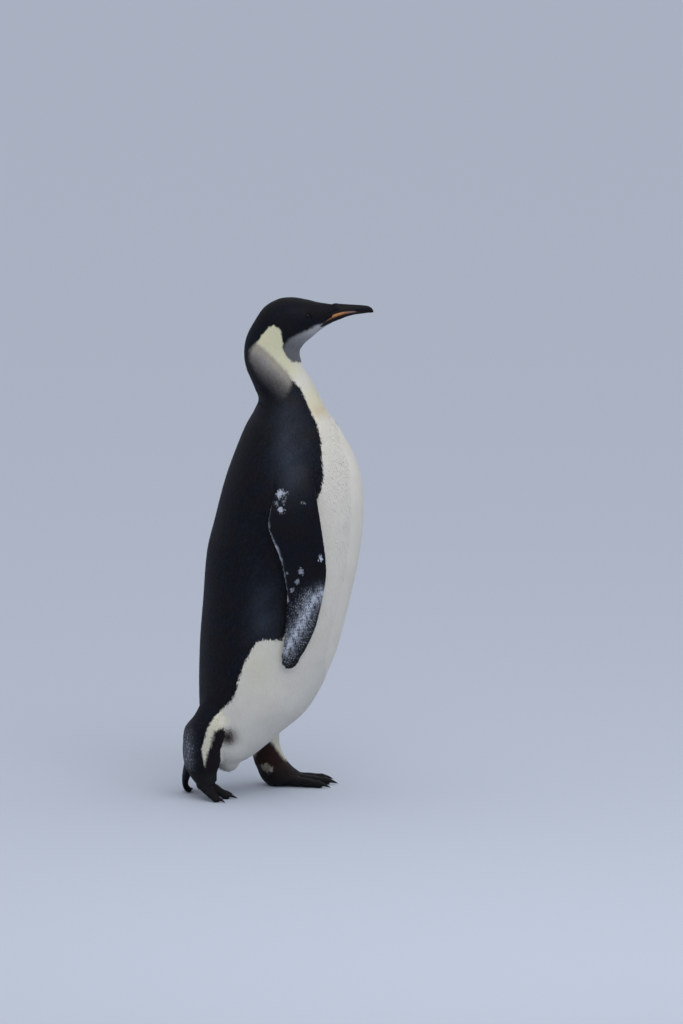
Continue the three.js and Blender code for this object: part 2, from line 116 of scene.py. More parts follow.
# Toes: root and tip of each middle line as (x, distance out from FOOT_OUT, z).
TOES = {
    RIGHT: {"outer": ((-148, 15, 31), (-122, 36, 6.4)),
            "middle": ((-145, 0, 32), (-103, 2, 6.4)),
            "inner": ((-147, -15, 32), (-110, -30, 6.4))},
    LEFT: {"outer": ((16, 17, 13), (90, 44, 6.4)),
           "middle": ((20, 0, 14), (98, 2, 6.4)),
           "inner": ((16, -17, 13), (84, -36, 6.4))},
}
TOE_ROOT, TOE_TIP, TOE_FLATNESS = 14, 9, 0.82  # radii, and height over width
TOE_BULGE = 0.05  # how much a toe swells at its joints, over its radius
WEB_REACH, WEB_SAG, WEB_THICKNESS = 0.98, 0.26, 5
CLAW_LENGTH, CLAW_RADIUS, CLAW_DROP, CLAW_RISE = 24, 5.4, 6.5, 1.2
HIND_TOE_LENGTH, HIND_TOE_RADIUS, HIND_TOE_DROP = 15, 4.5, 4
HIND_TOE_BELOW = 0.9  # stations from the ankle down to the hind toe
HIND_TOE_ALONG, HIND_TOE_IN = 0.45, 0.8  # its root, as shares of the leg's depth and half width

# Flippers: leading and trailing edge as (x, distance out, z), and half the thickness.
FLIPPER = np.array([
    [62, 98, 704, -8, 102, 694, 18],  # 0 inside the shoulder
    [74, 130, 660, 0, 138, 650, 17],
    [81, 149, 616, -12, 157, 606, 14],
    [87, 155, 580, -18, 166, 571, 11.5],  # 3 elbow
    [93, 155, 540, -9, 168, 540, 10],
    [98, 152, 500, 5, 167, 504, 9],  # 5 wrist
    [99, 149, 462, 14, 166, 466, 8],
    [92, 146, 420, 19, 164, 424, 7],
    [80, 143, 366, 17, 160, 370, 6],
    [62, 141, 322, 12, 156, 328, 5],
    [47, 142, 297, 8, 152, 303, 4.2],
], float)
FLIPPER_TIP = np.array([22.0, 146.0, 275.0])
LEAD_FULLNESS = 0.3  # how much thicker the flipper is at its leading edge

# Tail: rear point, front point, half width.
TAIL = np.array([
    [-148, 168, -108, 130, 38],
    [-167, 118, -130, 98, 41],
    [-181, 78, -155, 66, 37],
    [-189, 42, -171, 36, 31],
    [-190, 17, -178, 18, 25],
    [-183, 1.5, -174, 8, 19],
    [-168, 1.5, -166, 5, 12],
], float)

# Head.
EYE = np.array([61.0, 30.4, 971.0])
EYE_RADIUS = 8.2
# Bill: x, then the heights of the ridge, the mouth line and the underside, and the half width.
BILL = np.array([
    [86, 960, 956, 941, 23.5],  # 0 gape
    [99, 972, 965, 948, 17.5],
    [113, 991, 971.5, 954, 12.2],  # 2 edge of the feathers
    [127, 990.8, 975.5, 960, 9.4],
    [142, 989.8, 977.5, 965.8, 7.6],
    [157, 989, 977.8, 969.4, 6.2],
    [171, 988, 976.8, 971.2, 4.8],
    [182, 986.4, 976, 972.6, 3.4],  # 7 where the hook begins
    [188.5, 983, 975, 972.8, 2.4],
], float)
UPPER_TIP, LOWER_TIP = (193, 0, 974.6), (190, 0, 973.8)
UPPER_ROUND, LOWER_ROUND = (2.4, -0.3), (2.6, -0.25)  # squareness and fullness of each half
MOUTH_GAP, MOUTH_SQUARENESS = 0.3, 6.0

# How far the skin lies inside the solids: the depth of the lying coat.
COAT_BODY, COAT_HEAD, COAT_FACE, COAT_LORES = 3.0, 1.8, 1.4, 0.6
COAT_LEG, COAT_ANKLE, COAT_FLIPPER = 2.0, 0.3, 1.2

low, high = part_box("eye_right")
SHIFT = np.array([(low[0] + high[0]) / 2 / MM - EYE[0], 0.0, (low[2] + high[2]) / 2 / MM - EYE[2]])


def place(points):
    """Millimetres from the plumb line to metres in the frame."""
    return (np.asarray(points, float) + SHIFT) * MM


# ---------------------------------------------------------------- lofting


def along(table, u):
    """Catmull-Rom through the rows of a table, at places u."""
    u = np.clip(np.asarray(u, float), 0, len(table) - 1)
    i = np.minimum(u.astype(int), len(table) - 2)
    t = (u - i)[..., None]
    before, a, b = table[np.maximum(i - 1, 0)], table[i], table[i + 1]
    after = table[np.minimum(i + 2, len(table) - 1)]
    rise, fall = (b - before) / 2, (after - a) / 2
    return (a * (2 * t**3 - 3 * t**2 + 1) + rise * (t**3 - 2 * t**2 + t)
            + b * (3 * t**2 - 2 * t**3) + fall * (t**3 - t**2))


def rounded(value, power):
    return np.sign(value) * np.abs(value) ** (2 / power)


def oval(centre, reach, side, angle, squareness, fullness):
    """Points round an oval whose half axes are the vectors reach (angle 0) and side."""
    c = rounded(np.cos(angle), squareness)[..., None]
    s = (rounded(np.sin(angle), squareness) * (1 + fullness * np.cos(angle)))[..., None]
    return centre + reach * c + side * s


def shortened(reach, sink):
    length = np.linalg.norm(reach, axis=-1)
    return reach * ((length - sink) / length)[..., None]


def station_ring(row, angle, sink, squareness, fullness, side=LEFT):
    """Points on a ring given by rear point, front point, half width and, for a limb, distance out."""
    zero = np.zeros(row.shape[:-1])
    out = row[..., 5] * side if row.shape[-1] > 5 else zero
    back = np.stack([row[..., 0], out, row[..., 1]], -1)
    front = np.stack([row[..., 2], out, row[..., 3]], -1)
    reach = shortened((back - front) / 2, sink)
    width = np.stack([zero, row[..., 4] - sink, zero], -1)
    return oval((back + front) / 2, reach, width, angle, squareness, fullness)


def body_surface(u, angle):
    """The trunk, neck and head. Below station 0, down to -1, is the dome of the belly fold."""
    u, angle = np.broadcast_arrays(np.asarray(u, float), angle)
    depth = np.interp(u, [NECK, NAPE + 1, BODY_END - 2, BODY_END],
                      [COAT_BODY, COAT_HEAD, COAT_FACE, COAT_LORES])
    ring = station_ring(along(BODY, u), angle, depth, BODY_SQUARENESS, BACK_FULLNESS)
    first = BODY[0]
    middle = np.array([(first[0] + first[2]) / 2, 0, (first[1] + first[3]) / 2])
    turn = RUMP_LEAN + (math.pi / 2 - RUMP_LEAN) * np.clip(-u, 0, 1)
    shrink = (np.cos(turn) / math.cos(RUMP_LEAN))[..., None]
    drop = ((np.sin(turn) - math.sin(RUMP_LEAN)) / (1 - math.sin(RUMP_LEAN)))[..., None]
    pole = RUMP_END + np.array([0, 0, COAT_BODY])
    dome = (ring - middle) * shrink + middle + (pole - middle) * drop
    return np.where((u < 0)[..., None], dome, ring)


def leg_surface(side):
    """One leg, from the thigh to the ball of the foot. The coat thins out at the ankle."""
    def surface(u, angle):
        u, angle = np.broadcast_arrays(np.asarray(u, float), angle)
        depth = np.interp(u, [ANKLE[side] - 1.5, ANKLE[side]], [COAT_LEG, COAT_ANKLE])
        return station_ring(along(LEGS[side], u), angle, depth, LIMB_SQUARENESS, 0, side)
    return surface


def flipper_surface(side):
    """One flipper, from inside the shoulder to its round tip, which is the last station to one more."""
    last = len(FLIPPER) - 1

    def surface(u, angle):
        u, angle = np.broadcast_arrays(np.asarray(u, float), angle)
        row = along(FLIPPER, u)
        lead, trail, thick = row[..., 0:3], row[..., 3:6], row[..., 6]
        chord = shortened((lead - trail) / 2, COAT_FLIPPER)
        outward = np.stack([-chord[..., 1], chord[..., 0], np.zeros(u.shape)], -1)
        outward *= ((thick - COAT_FLIPPER) / np.linalg.norm(outward, axis=-1))[..., None]
        ring = oval((lead + trail) / 2, chord, outward, angle, 2, LEAD_FULLNESS)
        turn = math.pi / 2 * np.clip(u - last, 0, 1)[..., None]
        middle = (FLIPPER[last, 0:3] + FLIPPER[last, 3:6]) / 2
        tip = FLIPPER_TIP + np.array([0, 0, COAT_FLIPPER])
        points = (ring - middle) * np.cos(turn) + middle + (tip - middle) * np.sin(turn)
        return points * np.array([1, side, 1])
    return surface


DOME = 0.98  # share of a round end that rings cover, before the fan that closes it


def rows_to_dome(start, last, count, dome_count):
    """Places for the rings of a loft that ends in a dome, one station long, after its last station."""
    return np.concatenate([np.linspace(start, last, count), np.linspace(last, last + DOME, dome_count)[1:]])


def faces_between(rings, sides, closed=False):
    """Four-sided faces between rings of points. closed joins the last ring to the first."""
    faces = []
    for r in range(rings if closed else rings - 1):
        near, far = r * sides, (r + 1) % rings * sides
        for i in range(sides):
            j = (i + 1) % sides
            faces.append((near + i, near + j, far + j, far + i))
    return faces


def tube(points_at, rows, sides):
    """A closed mesh over a loft: vertices and faces, with a fan at each end."""
    rows = np.asarray(rows, float)
    angle = np.arange(sides) * TAU / sides
    rings = points_at(rows[:, None], angle[None, :])
    verts = np.vstack([rings.reshape(-1, 3), rings[0].mean(0), rings[-1].mean(0)])
    faces = faces_between(len(rows), sides)
    first, last_ring = len(rows) * sides, (len(rows) - 1) * sides
    for i in range(sides):
        j = (i + 1) % sides
        faces.append((first, j, i))
        faces.append((first + 1, last_ring + i, last_ring + j))
    return verts, faces


def joined(meshes):
    """Several (vertices, faces) pairs as one."""
    verts, faces, start = [], [], 0
    for points, polygons in meshes:
        verts.append(points)
        faces += [tuple(start + k for k in polygon) for polygon in polygons]
        start += len(points)
    return np.vstack(verts), faces


def in_scene(name, data):
    """A new object in the scene."""
    made = bpy.data.objects.new(name, data)
    bpy.context.scene.collection.objects.link(made)
    return made


def make_object(name, verts, faces):
    """A smooth mesh object from points in millimetres."""
    mesh = bpy.data.meshes.new(name)
    mesh.from_pydata(place(verts).tolist(), [], faces)
    mesh.validate()
    made = in_scene(name, mesh)
    face_outwards(mesh)
    mesh.shade_smooth()
    return made


def face_outwards(mesh):
    """Turns a closed mesh the right way out."""
    mesh.calc_loop_triangles()
    corners = np.zeros(len(mesh.vertices) * 3, np.float32)
    mesh.vertices.foreach_get("co", corners)
    corners = corners.reshape(-1, 3)
    triangles = np.zeros(len(mesh.loop_triangles) * 3, np.int32)
    mesh.loop_triangles.foreach_get("vertices", triangles)
    a, b, c = (corners[triangles.reshape(-1, 3)[:, k]] for k in range(3))
    if np.einsum("ij,ij->i", a, np.cross(b, c)).sum() < 0:
        mesh.flip_normals()


def bake_down(obj):
    """Applies the object's modifiers to its mesh."""
    graph = bpy.context.evaluated_depsgraph_get()
    mesh = bpy.data.meshes.new_from_object(obj.evaluated_get(graph))
    obj.modifiers.clear()
    obj.data = mesh


def points_of(mesh):
    """Vertex positions and normals as arrays, in millimetres from the plumb line."""
    co = np.zeros(len(mesh.vertices) * 3)
    mesh.vertices.foreach_get("co", co)
    normal = np.zeros(len(mesh.vertices) * 3)
    mesh.vertices.foreach_get("normal", normal)
    return co.reshape(-1, 3) / MM - SHIFT, normal.reshape(-1, 3)


# ---------------------------------------------------------------- feet


def toe_point(point, side):
    x, out, z = point
    return np.array([x, side * (FOOT_OUT + out), z], float)


def bar(a, b, radius_a, radius_b, flatness, bulges=0.0):
    """A round-ended bar from a to b that swells a little over each toe joint."""
    forward = (b - a) / np.linalg.norm(b - a)
    side = np.cross([0, 0, 1], forward)
    side /= np.linalg.norm(side)
    up = np.cross(forward, side)

    def surface(u, angle):
        u, angle = np.broadcast_arrays(u, angle)
        t = np.clip(u, 0, 1)[..., None]
        radius = radius_a + (radius_b - radius_a) * t
        radius = radius * (1 + bulges * np.cos(t * 3 * TAU))
        past = np.clip(np.maximum(-u, u - 1), 0, 1)[..., None]
        direction = np.where(u < 0, -1.0, 1.0)[..., None]
        centre = a + (b - a) * t + forward * direction * radius * np.sin(past * math.pi / 2)
        return oval(centre, up * radius * flatness * np.cos(past * math.pi / 2),
                    side * radius * np.cos(past * math.pi / 2), angle, 2, 0)
    return tube(surface, np.concatenate([np.linspace(-DOME, 0, 7)[:-1], rows_to_dome(0, 1, 30, 7)]), 28)


def web(toe_a, toe_b, side):
    """The sheet of skin between two toes, with a free edge that hangs back in a curve."""
    root_a, root_b = toe_point(toe_a[0], side), toe_point(toe_b[0], side)
    tip_a, tip_b = toe_point(toe_a[1], side), toe_point(toe_b[1], side)
    steps, rows = 16, []
    for s in np.linspace(0, 1, steps):
        reach = WEB_REACH * (1 - WEB_SAG * 4 * s * (1 - s))
        near, far = root_a + (root_b - root_a) * s, tip_a + (tip_b - tip_a) * s
        rows.append((near, near + (far - near) * reach))
    lift = np.array([0, 0, WEB_THICKNESS / 2])
    corners = np.array([[near + lift, far + lift, far - lift, near - lift] for near, far in rows])
    end = (steps - 1) * 4
    ends = [(3, 2, 1, 0), (end, end + 1, end + 2, end + 3)]
    return corners.reshape(-1, 3), faces_between(steps, 4) + ends


def hind_toe(side):
    """Root and tip of the small hind toe, on the inner side of the foot."""
    row = along(LEGS[side], np.array(ANKLE[side] + HIND_TOE_BELOW))
    x, z = row[0:2] + HIND_TOE_ALONG * (row[2:4] - row[0:2])
    root = np.array([x, side * (row[5] - HIND_TOE_IN * row[4]), z])
    return root, root + np.array([-HIND_TOE_DROP, -side * HIND_TOE_LENGTH, -HIND_TOE_DROP])


def foot_meshes(side):
    toes = TOES[side]
    bars = [bar(toe_point(root, side), toe_point(tip, side), TOE_ROOT, TOE_TIP, TOE_FLATNESS, TOE_BULGE)
            for root, tip in toes.values()]
    webs = [web(toes["outer"], toes["middle"], side), web(toes["middle"], toes["inner"], side)]
    root, tip = hind_toe(side)
    return bars + webs + [bar(root, tip, HIND_TOE_RADIUS + 1.5, HIND_TOE_RADIUS, 1)]


# ---------------------------------------------------------------- the skin

SLEEVE = (104.0, 129.0)  # x where the sleeve of skin over the root of the bill starts and ends
SLEEVE_END = 0.8  # share of the sleeve that carries feathers
SLEEVE_ABOVE = 1.2  # how far its lower edge stays above the mouth line
SLEEVE_SINK, SLEEVE_DIVE = 0.1, 2.2  # how deep it lies in the bill's shape, and how much deeper at its end
SLEEVE_DIVE_X, SLEEVE_SLANT = 112, 9  # where it starts to dive, and how much later at the sides


def sleeve_surface(u, angle):
    """Skin that hugs the root of the upper bill and dives under the horn, later at the sides than above."""
    u, angle = np.broadcast_arrays(np.asarray(u, float), angle)
    x = SLEEVE[0] + (SLEEVE[1] - SLEEVE[0]) * u
    station = np.interp(x, BILL[:, 0], np.arange(len(BILL)))
    row = along(BILL, station)
    low = row[..., 2] + SLEEVE_ABOVE
    flank = 1 - np.cos(angle)  # 0 on the ridge, 1 at the sides, 2 below
    dive = (x - SLEEVE_DIVE_X - SLEEVE_SLANT * np.clip(flank, 0, 1.2)) / SLEEVE_SLANT
    depth = -SLEEVE_SINK - SLEEVE_DIVE * np.clip(dive, 0, 1)
    zero = np.zeros(u.shape)
    middle = np.stack([x, zero, (row[..., 1] + low) / 2], -1)
    high = np.stack([zero, zero, (row[..., 1] - low) / 2 + depth], -1)
    wide = np.stack([zero, row[..., 4] + depth, zero], -1)
    return oval(middle, high, wide, angle, *UPPER_ROUND)


VOXEL = 2.3 * MM
SKIN_FACES = 190000
FUSE_ROUNDS, CREASE_ROUNDS = 4, 30  # rounds of smoothing over the whole skin, then in its creases
CREASE = 12.0  # skin closer than this to two parts at once belongs to the crease between them
NO_CREASE = (240, 610)  # heights between which a flipper only lies beside the trunk
PLAIN_SKIN = (150, 860)  # heights between which feathers hide all of the skin
TAIL_ROOT = 3.0  # station of the tail where the skin ends and only quills go on

# Which part of the bird a point belongs to.
ON_BODY, ON_FLIPPER, ON_LEG, ON_FOOT, ON_TAIL = range(5)


def tail_surface(u, angle, sink=COAT_LEG):
    return station_ring(along(TAIL, u), angle, sink, LIMB_SQUARENESS, 0)


def skin_lofts():
    """The parts of the skin, each with its code, as closed meshes."""
    lofts = [
        (ON_BODY, tube(body_surface, np.linspace(-0.99, BODY_END, 240), 120)),
        (ON_TAIL, tube(tail_surface, np.linspace(0, TAIL_ROOT, 50), 60)),
    ]
    for side in (RIGHT, LEFT):
        leg, ankle = leg_surface(side), ANKLE[side]
        flipper_rows = rows_to_dome(0.2, len(FLIPPER) - 1, 100, 10)
        lofts.append((ON_FLIPPER, tube(flipper_surface(side), flipper_rows, 56)))
        lofts.append((ON_LEG, tube(leg, np.linspace(0, ankle, 60), 56)))
        shank = tube(leg, np.linspace(ankle - 0.2, len(LEGS[side]) - 1, 40), 56)
        lofts.append((ON_FOOT, joined([shank] + foot_meshes(side))))
    lofts.append((ON_BODY, tube(sleeve_surface, np.linspace(0, 1, 30), 60)))
    return lofts


def make_skin():
    """One closed skin over trunk, neck, head, flippers, legs and feet, with no seams.

    The parts are fused and smoothed, then drawn back onto their own surfaces except in the creases
    between them, which are smoothed further. Returns the skin and the part that each point lies on.
    """
    lofts = skin_lofts()
    skin = make_object("skin", *joined([mesh for _, mesh in lofts]))
    remesh = skin.modifiers.new("fuse", "REMESH")
    remesh.mode = "VOXEL"
    remesh.voxel_size = VOXEL
    add_smoothing(skin, FUSE_ROUNDS)
    bake_down(skin)
    thin_out(skin)
    points, _ = points_of(skin.data)
    part, spots, crease = nearest_parts(points, lofts)
    points = spots + (points - spots) * crease[:, None]
    points[:, 2] = np.maximum(points[:, 2], 0)
    skin.data.vertices.foreach_set("co", place(points).astype(np.float32).ravel())
    group = skin.vertex_groups.new(name="crease")
    for level in (0.25, 0.5, 0.75, 1.0):
        members = np.nonzero((crease > level - 0.25) & (part != ON_FOOT))[0]
        group.add(members.tolist(), level, "REPLACE")
    add_smoothing(skin, CREASE_ROUNDS).vertex_group = "crease"
    bake_down(skin)
    skin.vertex_groups.clear()
    skin.data.shade_smooth()
    return skin, part


def add_smoothing(obj, rounds):
    smooth = obj.modifiers.new("smooth", "SMOOTH")
    smooth.factor = 0.5
    smooth.iterations = rounds
    return smooth


def nearest_parts(points, lofts):
    """For each point: its part, the nearest spot on that part, and how far it is in a crease, 0 to 1."""
    count = len(points)
    best, second = np.full(count, 1e3), np.full(count, 1e3)
    spots, part = np.zeros((count, 3)), np.zeros(count, int)
    for code, (verts, faces) in lofts:
        tree = BVHTree.FromPolygons(verts.tolist(), faces)
        low, high = verts.min(0) - CREASE, verts.max(0) + CREASE
        for i in np.nonzero(((points > low) & (points < high)).all(1))[0]:
            spot, _, _, reach = tree.find_nearest(points[i])
            apart = part[i] != code and not {part[i], code} <= {ON_LEG, ON_FOOT}
            if reach < best[i]:
                if apart:
                    second[i] = best[i]
                best[i], part[i], spots[i] = reach, code, spot
            elif apart:
                second[i] = min(second[i], reach)
    crease = 1 - soft(second - CREASE / 2, CREASE)
    crease[(points[:, 2] > NO_CREASE[0]) & (points[:, 2] < NO_CREASE[1])] = 0
    spots[part == ON_FOOT] = points[part == ON_FOOT]
    return part, spots, crease


def thin_out(skin):
    """Fewer faces on the trunk, where feathers hide the skin, and none lost on the head and feet."""
    points, _ = points_of(skin.data)
    group = skin.vertex_groups.new(name="plain")
    plain = np.nonzero((points[:, 2] > PLAIN_SKIN[0]) & (points[:, 2] < PLAIN_SKIN[1]))[0]
    group.add(plain.tolist(), 1.0, "REPLACE")
    less = skin.modifiers.new("less", "DECIMATE")
    less.vertex_group = "plain"
    less.ratio = min(1.0, SKIN_FACES / (2 * len(skin.data.polygons)))
    bake_down(skin)
    skin.vertex_groups.clear()


# ---------------------------------------------------------------- markings

# Markings are drawn on a side view of the bird in pixels of 2 mm, seen from 10 degrees above. A point's
# place there is the same for both sides of the bird.
PIXEL = 2.0
PLUMB_COLUMN, FLOOR_ROW = 277.0, 792.0
ROW_HEIGHT = 2.03  # millimetres of height for each row
LEAN_OF_VIEW = 0.0868  # rows that a point moves for each millimetre it lies nearer


def side_view(points):
    """Column and row of points in the side view, with the left side laid over the right one."""
    column = PLUMB_COLUMN + points[:, 0] / PIXEL
    row = FLOOR_ROW - points[:, 2] / ROW_HEIGHT + LEAN_OF_VIEW * np.abs(points[:, 1])
    return np.stack([column, row], -1)


def line_distance(points, line):
    """Distance to an open line, in pixels."""
    line = np.asarray(line, float)
    best = np.full(len(points), 1e9)
    for a, b in zip(line, line[1:]):
        edge = b - a
        t = np.clip(((points - a) @ edge) / (edge @ edge), 0, 1)
        best = np.minimum(best, np.linalg.norm(points - a - t[:, None] * edge, axis=1))
    return best


def inside(points, outline):
    """Signed distance to a closed outline, in pixels: positive inside."""
    outline = np.asarray(outline, float)
    closed = np.vstack([outline, outline[:1]])
    odd = np.zeros(len(points), bool)
    for a, b in zip(closed, closed[1:]):
        crosses = (a[1] > points[:, 1]) != (b[1] > points[:, 1])
        edge = b - a
        reach = a[0] + (points[:, 1] - a[1]) * edge[0] / (edge[1] if edge[1] else 1e-9)
        odd ^= crosses & (points[:, 0] < reach)
    distance = line_distance(points, closed)
    return np.where(odd, distance, -distance)


def soft(distance, width):
    """From 0 to 1 across an edge of that width."""
    t = np.clip(distance / width + 0.5, 0, 1)
    return t * t * (3 - 2 * t)


def ripple(points, scale, seed):
    """Smooth noise of about -1 to 1 from a few sine waves, with no lattice to show."""
    waves = np.random.default_rng(seed)
    total = np.zeros(len(points))
    for _ in range(7):
        direction = waves.normal(size=3)
        direction *= TAU / scale / np.linalg.norm(direction) * waves.uniform(0.6, 1.6)
        total += np.sin(points @ direction + waves.uniform(0, TAU))
    return total / 3.2


# The white front: ear patch, upper breast, belly and flank notch. It runs on past the bird's front.
WHITE = [
    (273.5, 325.5), (278, 328), (281, 333), (282.3, 340), (282.7, 348), (284.5, 354), (288, 359.5),
    (293, 362.5), (300, 362.5), (330, 362), (420, 420), (420, 860), (236, 860),
    (210, 772), (204.4, 767), (202.4, 757), (201.5, 749), (203.4, 741.5), (206.3, 734), (208.2, 728),
    (211, 722.4), (215.8, 716), (224, 707.5), (232.3, 700.5), (237.3, 690), (239.4, 677.5), (244, 665),
    (250, 653), (254, 646), (258, 641), (264, 639.5), (282, 640), (288, 630), (296, 600), (303, 560),
    (311, 525), (317, 500), (321, 491), (323, 479), (322, 464), (321, 441), (317, 425), (311, 413),
    (305, 398), (299, 387), (291.5, 380), (286, 373), (279, 366), (271, 358), (263, 350), (256, 345),
    (259, 340), (263, 334), (268, 329),
]
CREAM = [(273.5, 322), (281, 328), (285, 340), (287, 354), (292, 364), (296, 372), (290, 376), (283, 369),
         (262, 352), (250, 346), (260, 330)]
# The grey side of the neck, below and behind the ear patch. It fades to black towards the nape.
GREY = [(250, 351), (257, 344), (264, 349), (272, 357), (280, 365), (287, 372), (292.6, 379), (290, 390),
        (284, 401), (277, 397), (268, 390), (260, 382), (254, 372), (250, 361)]
GREY_EDGE = [(254, 346), (264, 351), (272, 359), (280, 367), (287, 375), (292, 383)]
THROAT = [(316, 326), (305, 331.5), (296, 335.5), (289, 340), (284, 345), (283, 350), (286, 359),
          (292, 362.5), (301, 362.5), (330, 362), (345, 322), (326, 324)]
THROAT_DARK, THROAT_PALE = np.array([284, 352]), np.array([312, 332])  # its darkest and palest ends
NECK_FADE = (366, 398)  # rows over which the grey of the neck sinks to a fifth
# Soft flushes of colour: middle, reach across, reach up and down, and strength.
YELLOW = (314, 402, 11, 18, 0.6)  # on the upper breast
OCHRE = (319, 411, 8, 6, 0.8)
FLANK_CREAM = (258, 668, 18, 28, 0.35)  # on the flank below the mantle
SHEEN_FROST_PATCHES = ((289, 450, 16, 42, 0.55), (264, 622, 16, 36, 0.4))  # a painted sheen highlight on the shoulder, and frost with painted sheen on the flank, make the mantle paler and bluer
FOLD_SPOT = (228, 737, 8, 7, 0.85)  # brown spot on the belly beside the right thigh
# On the right leg: the dark inner side, in front of the white stripe.
INNER_LEG = [(215, 731.5), (211.6, 742), (209, 750), (206.6, 757.5), (204.4, 765), (204, 780), (222, 780),
             (223, 756), (226, 747), (240, 745), (240, 730), (224, 727.5)]
# On the left leg, seen from its inner side.
BROWN_SHANK = [(266.4, 740), (260, 749), (254, 757), (252, 776), (300, 780), (292, 768), (284.5, 762),
               (279, 755), (272, 745)]
SHANK_SHADE_ROW = 767  # row round which the brown of the shank gives way to black
PALE_HEEL = [(260, 765), (266, 764), (272, 768), (273, 772), (268, 773.5), (263, 770)]
# Rime on the right flipper: a haze along its tip, a line on its rear edge and spots higher up.
RIME_RIDGE = [(322, 594), (313, 600), (308, 608.6), (302, 623), (294, 637), (286, 650)]
RIME_EDGE = [(270.7, 502.9), (269, 511.4), (267.6, 521.4), (268.4, 530), (272.5, 540), (277.5, 550),
             (280.5, 558.6), (282.2, 568.6), (283.9, 580), (285.7, 590), (287.6, 601)]
RIME_SPOTS = [(281, 494, 5.5, 3.4, 0.8), (280.5, 510.5, 3.6, 2.6, 0.75), (276.5, 503, 2, 3, 0.35),
              (284.5, 502.5, 2, 2.5, 0.3), (302.9, 503, 2.2, 1.4, 0.55), (320.5, 558, 2.2, 2.6, 0.95),
              (300.7, 571.4, 2.8, 3, 0.5), (297, 582, 1.6, 2.2, 0.4), (292.4, 590, 1.6, 2, 0.4),
              (287, 573.6, 1.5, 1.5, 0.35)]
RIME_ROWS = (588, 668)  # rows in which single specks lie round the haze
RIME_HEEL = (187, 752, 6, 22, 0.6)


def near_line(view, line, width):
    """From 1 on a line to 0 well away from it."""
    return np.exp(-(line_distance(view, line) / width) ** 2)


def blob(view, column, row, width, height, strength=1.0):
    return strength * np.exp(-((view[:, 0] - column) / width) ** 2 - ((view[:, 1] - row) / height) ** 2)


def rime(points, view, part, facing):
    """Rime on the outer face of the right flipper and on the raised heel, thin and grained.

    facing is the sideways share of each normal, below 0 where it faces right.
    """
    grain = 0.8 * ripple(points, 11, 31) + 0.8 * ripple(points, 4, 32) + 0.9 * ripple(points, 2, 37)
    specks = soft(ripple(points, 4, 33) + ripple(points, 2.2, 34) - 1.0, 0.4)
    haze = 0.42 * near_line(view, RIME_RIDGE, 8) + 0.4 * near_line(view, RIME_RIDGE, 3)
    haze *= np.clip(0.9 + 0.6 * grain, 0.08, 1.9)
    below = (view[:, 1] > RIME_ROWS[0]) & (view[:, 1] < RIME_ROWS[1])
    haze = np.maximum(haze, 0.75 * specks * below * near_line(view, RIME_RIDGE, 14))
    haze = np.maximum(haze, 0.7 * near_line(view, RIME_EDGE, 1.2))
    for *place_and_reach, strength in RIME_SPOTS:
        spot = blob(view, *place_and_reach)
        haze = np.maximum(haze, strength * soft(spot - 0.5 + 0.32 * grain, 0.5) * (spot > 0.08))
    right = points[:, 1] < 0
    haze *= right & (part == ON_FLIPPER) & (facing < 0.1)
    flecks = soft(ripple(points, 3.5, 35) + ripple(points, 2, 36) - 0.9, 0.5)
    heel = blob(view, *RIME_HEEL) * (0.3 + 0.7 * flecks)
    return np.maximum(haze, heel * (right & (part == ON_LEG)))


def leg_marks(points, view, white, part):
    """White and brown on the legs and on the belly beside them, and the pale patch on the left heel."""
    on_leg = part == ON_LEG
    right = on_leg & (points[:, 1] < 0)
    left = (on_leg | (part == ON_FOOT)) & (points[:, 1] > 0)
    spot = soft(inside(view, INNER_LEG) + 0.8 * ripple(points, 7, 42), 4)
    belly_spot = blob(view, *FOLD_SPOT) * (points[:, 1] < -25) * (part == ON_BODY)
    brown = np.where(right, 0.25 * spot, belly_spot)

    # The left leg is seen from its inner side, across the middle plane.
    across = view - np.stack([np.zeros(len(view)), 2 * LEAN_OF_VIEW * np.abs(points[:, 1])], -1)
    inner = soft(FOOT_OUT + 6 - points[:, 1], 26)
    shank = soft(inside(across, BROWN_SHANK), 5)
    heel = soft(inside(across, PALE_HEEL) + ripple(points, 6, 41), 2.5)
    height = np.clip((points[:, 2] - 55) / 80, 0, 1)
    stripe = soft(points[:, 0] + 26 - 30 * height, 10) * soft(22 + 40 * height - points[:, 0], 8)
    outer = np.maximum(stripe * soft(points[:, 2] - 62, 24), soft(points[:, 2] - 150, 30))
    left_white = outer * (1 - inner) + np.clip(1 - shank, 0, 1) * inner
    white = np.where(right, white * (1 - spot), white * (1 - belly_spot))
    white = np.where(left & on_leg, left_white, white)
    low_shade = 0.3 + 0.7 * soft(SHANK_SHADE_ROW - across[:, 1], 14)
    brown = np.where(left, shank * inner * (1 - heel) * low_shade, brown)
    return white, brown, heel * inner * left


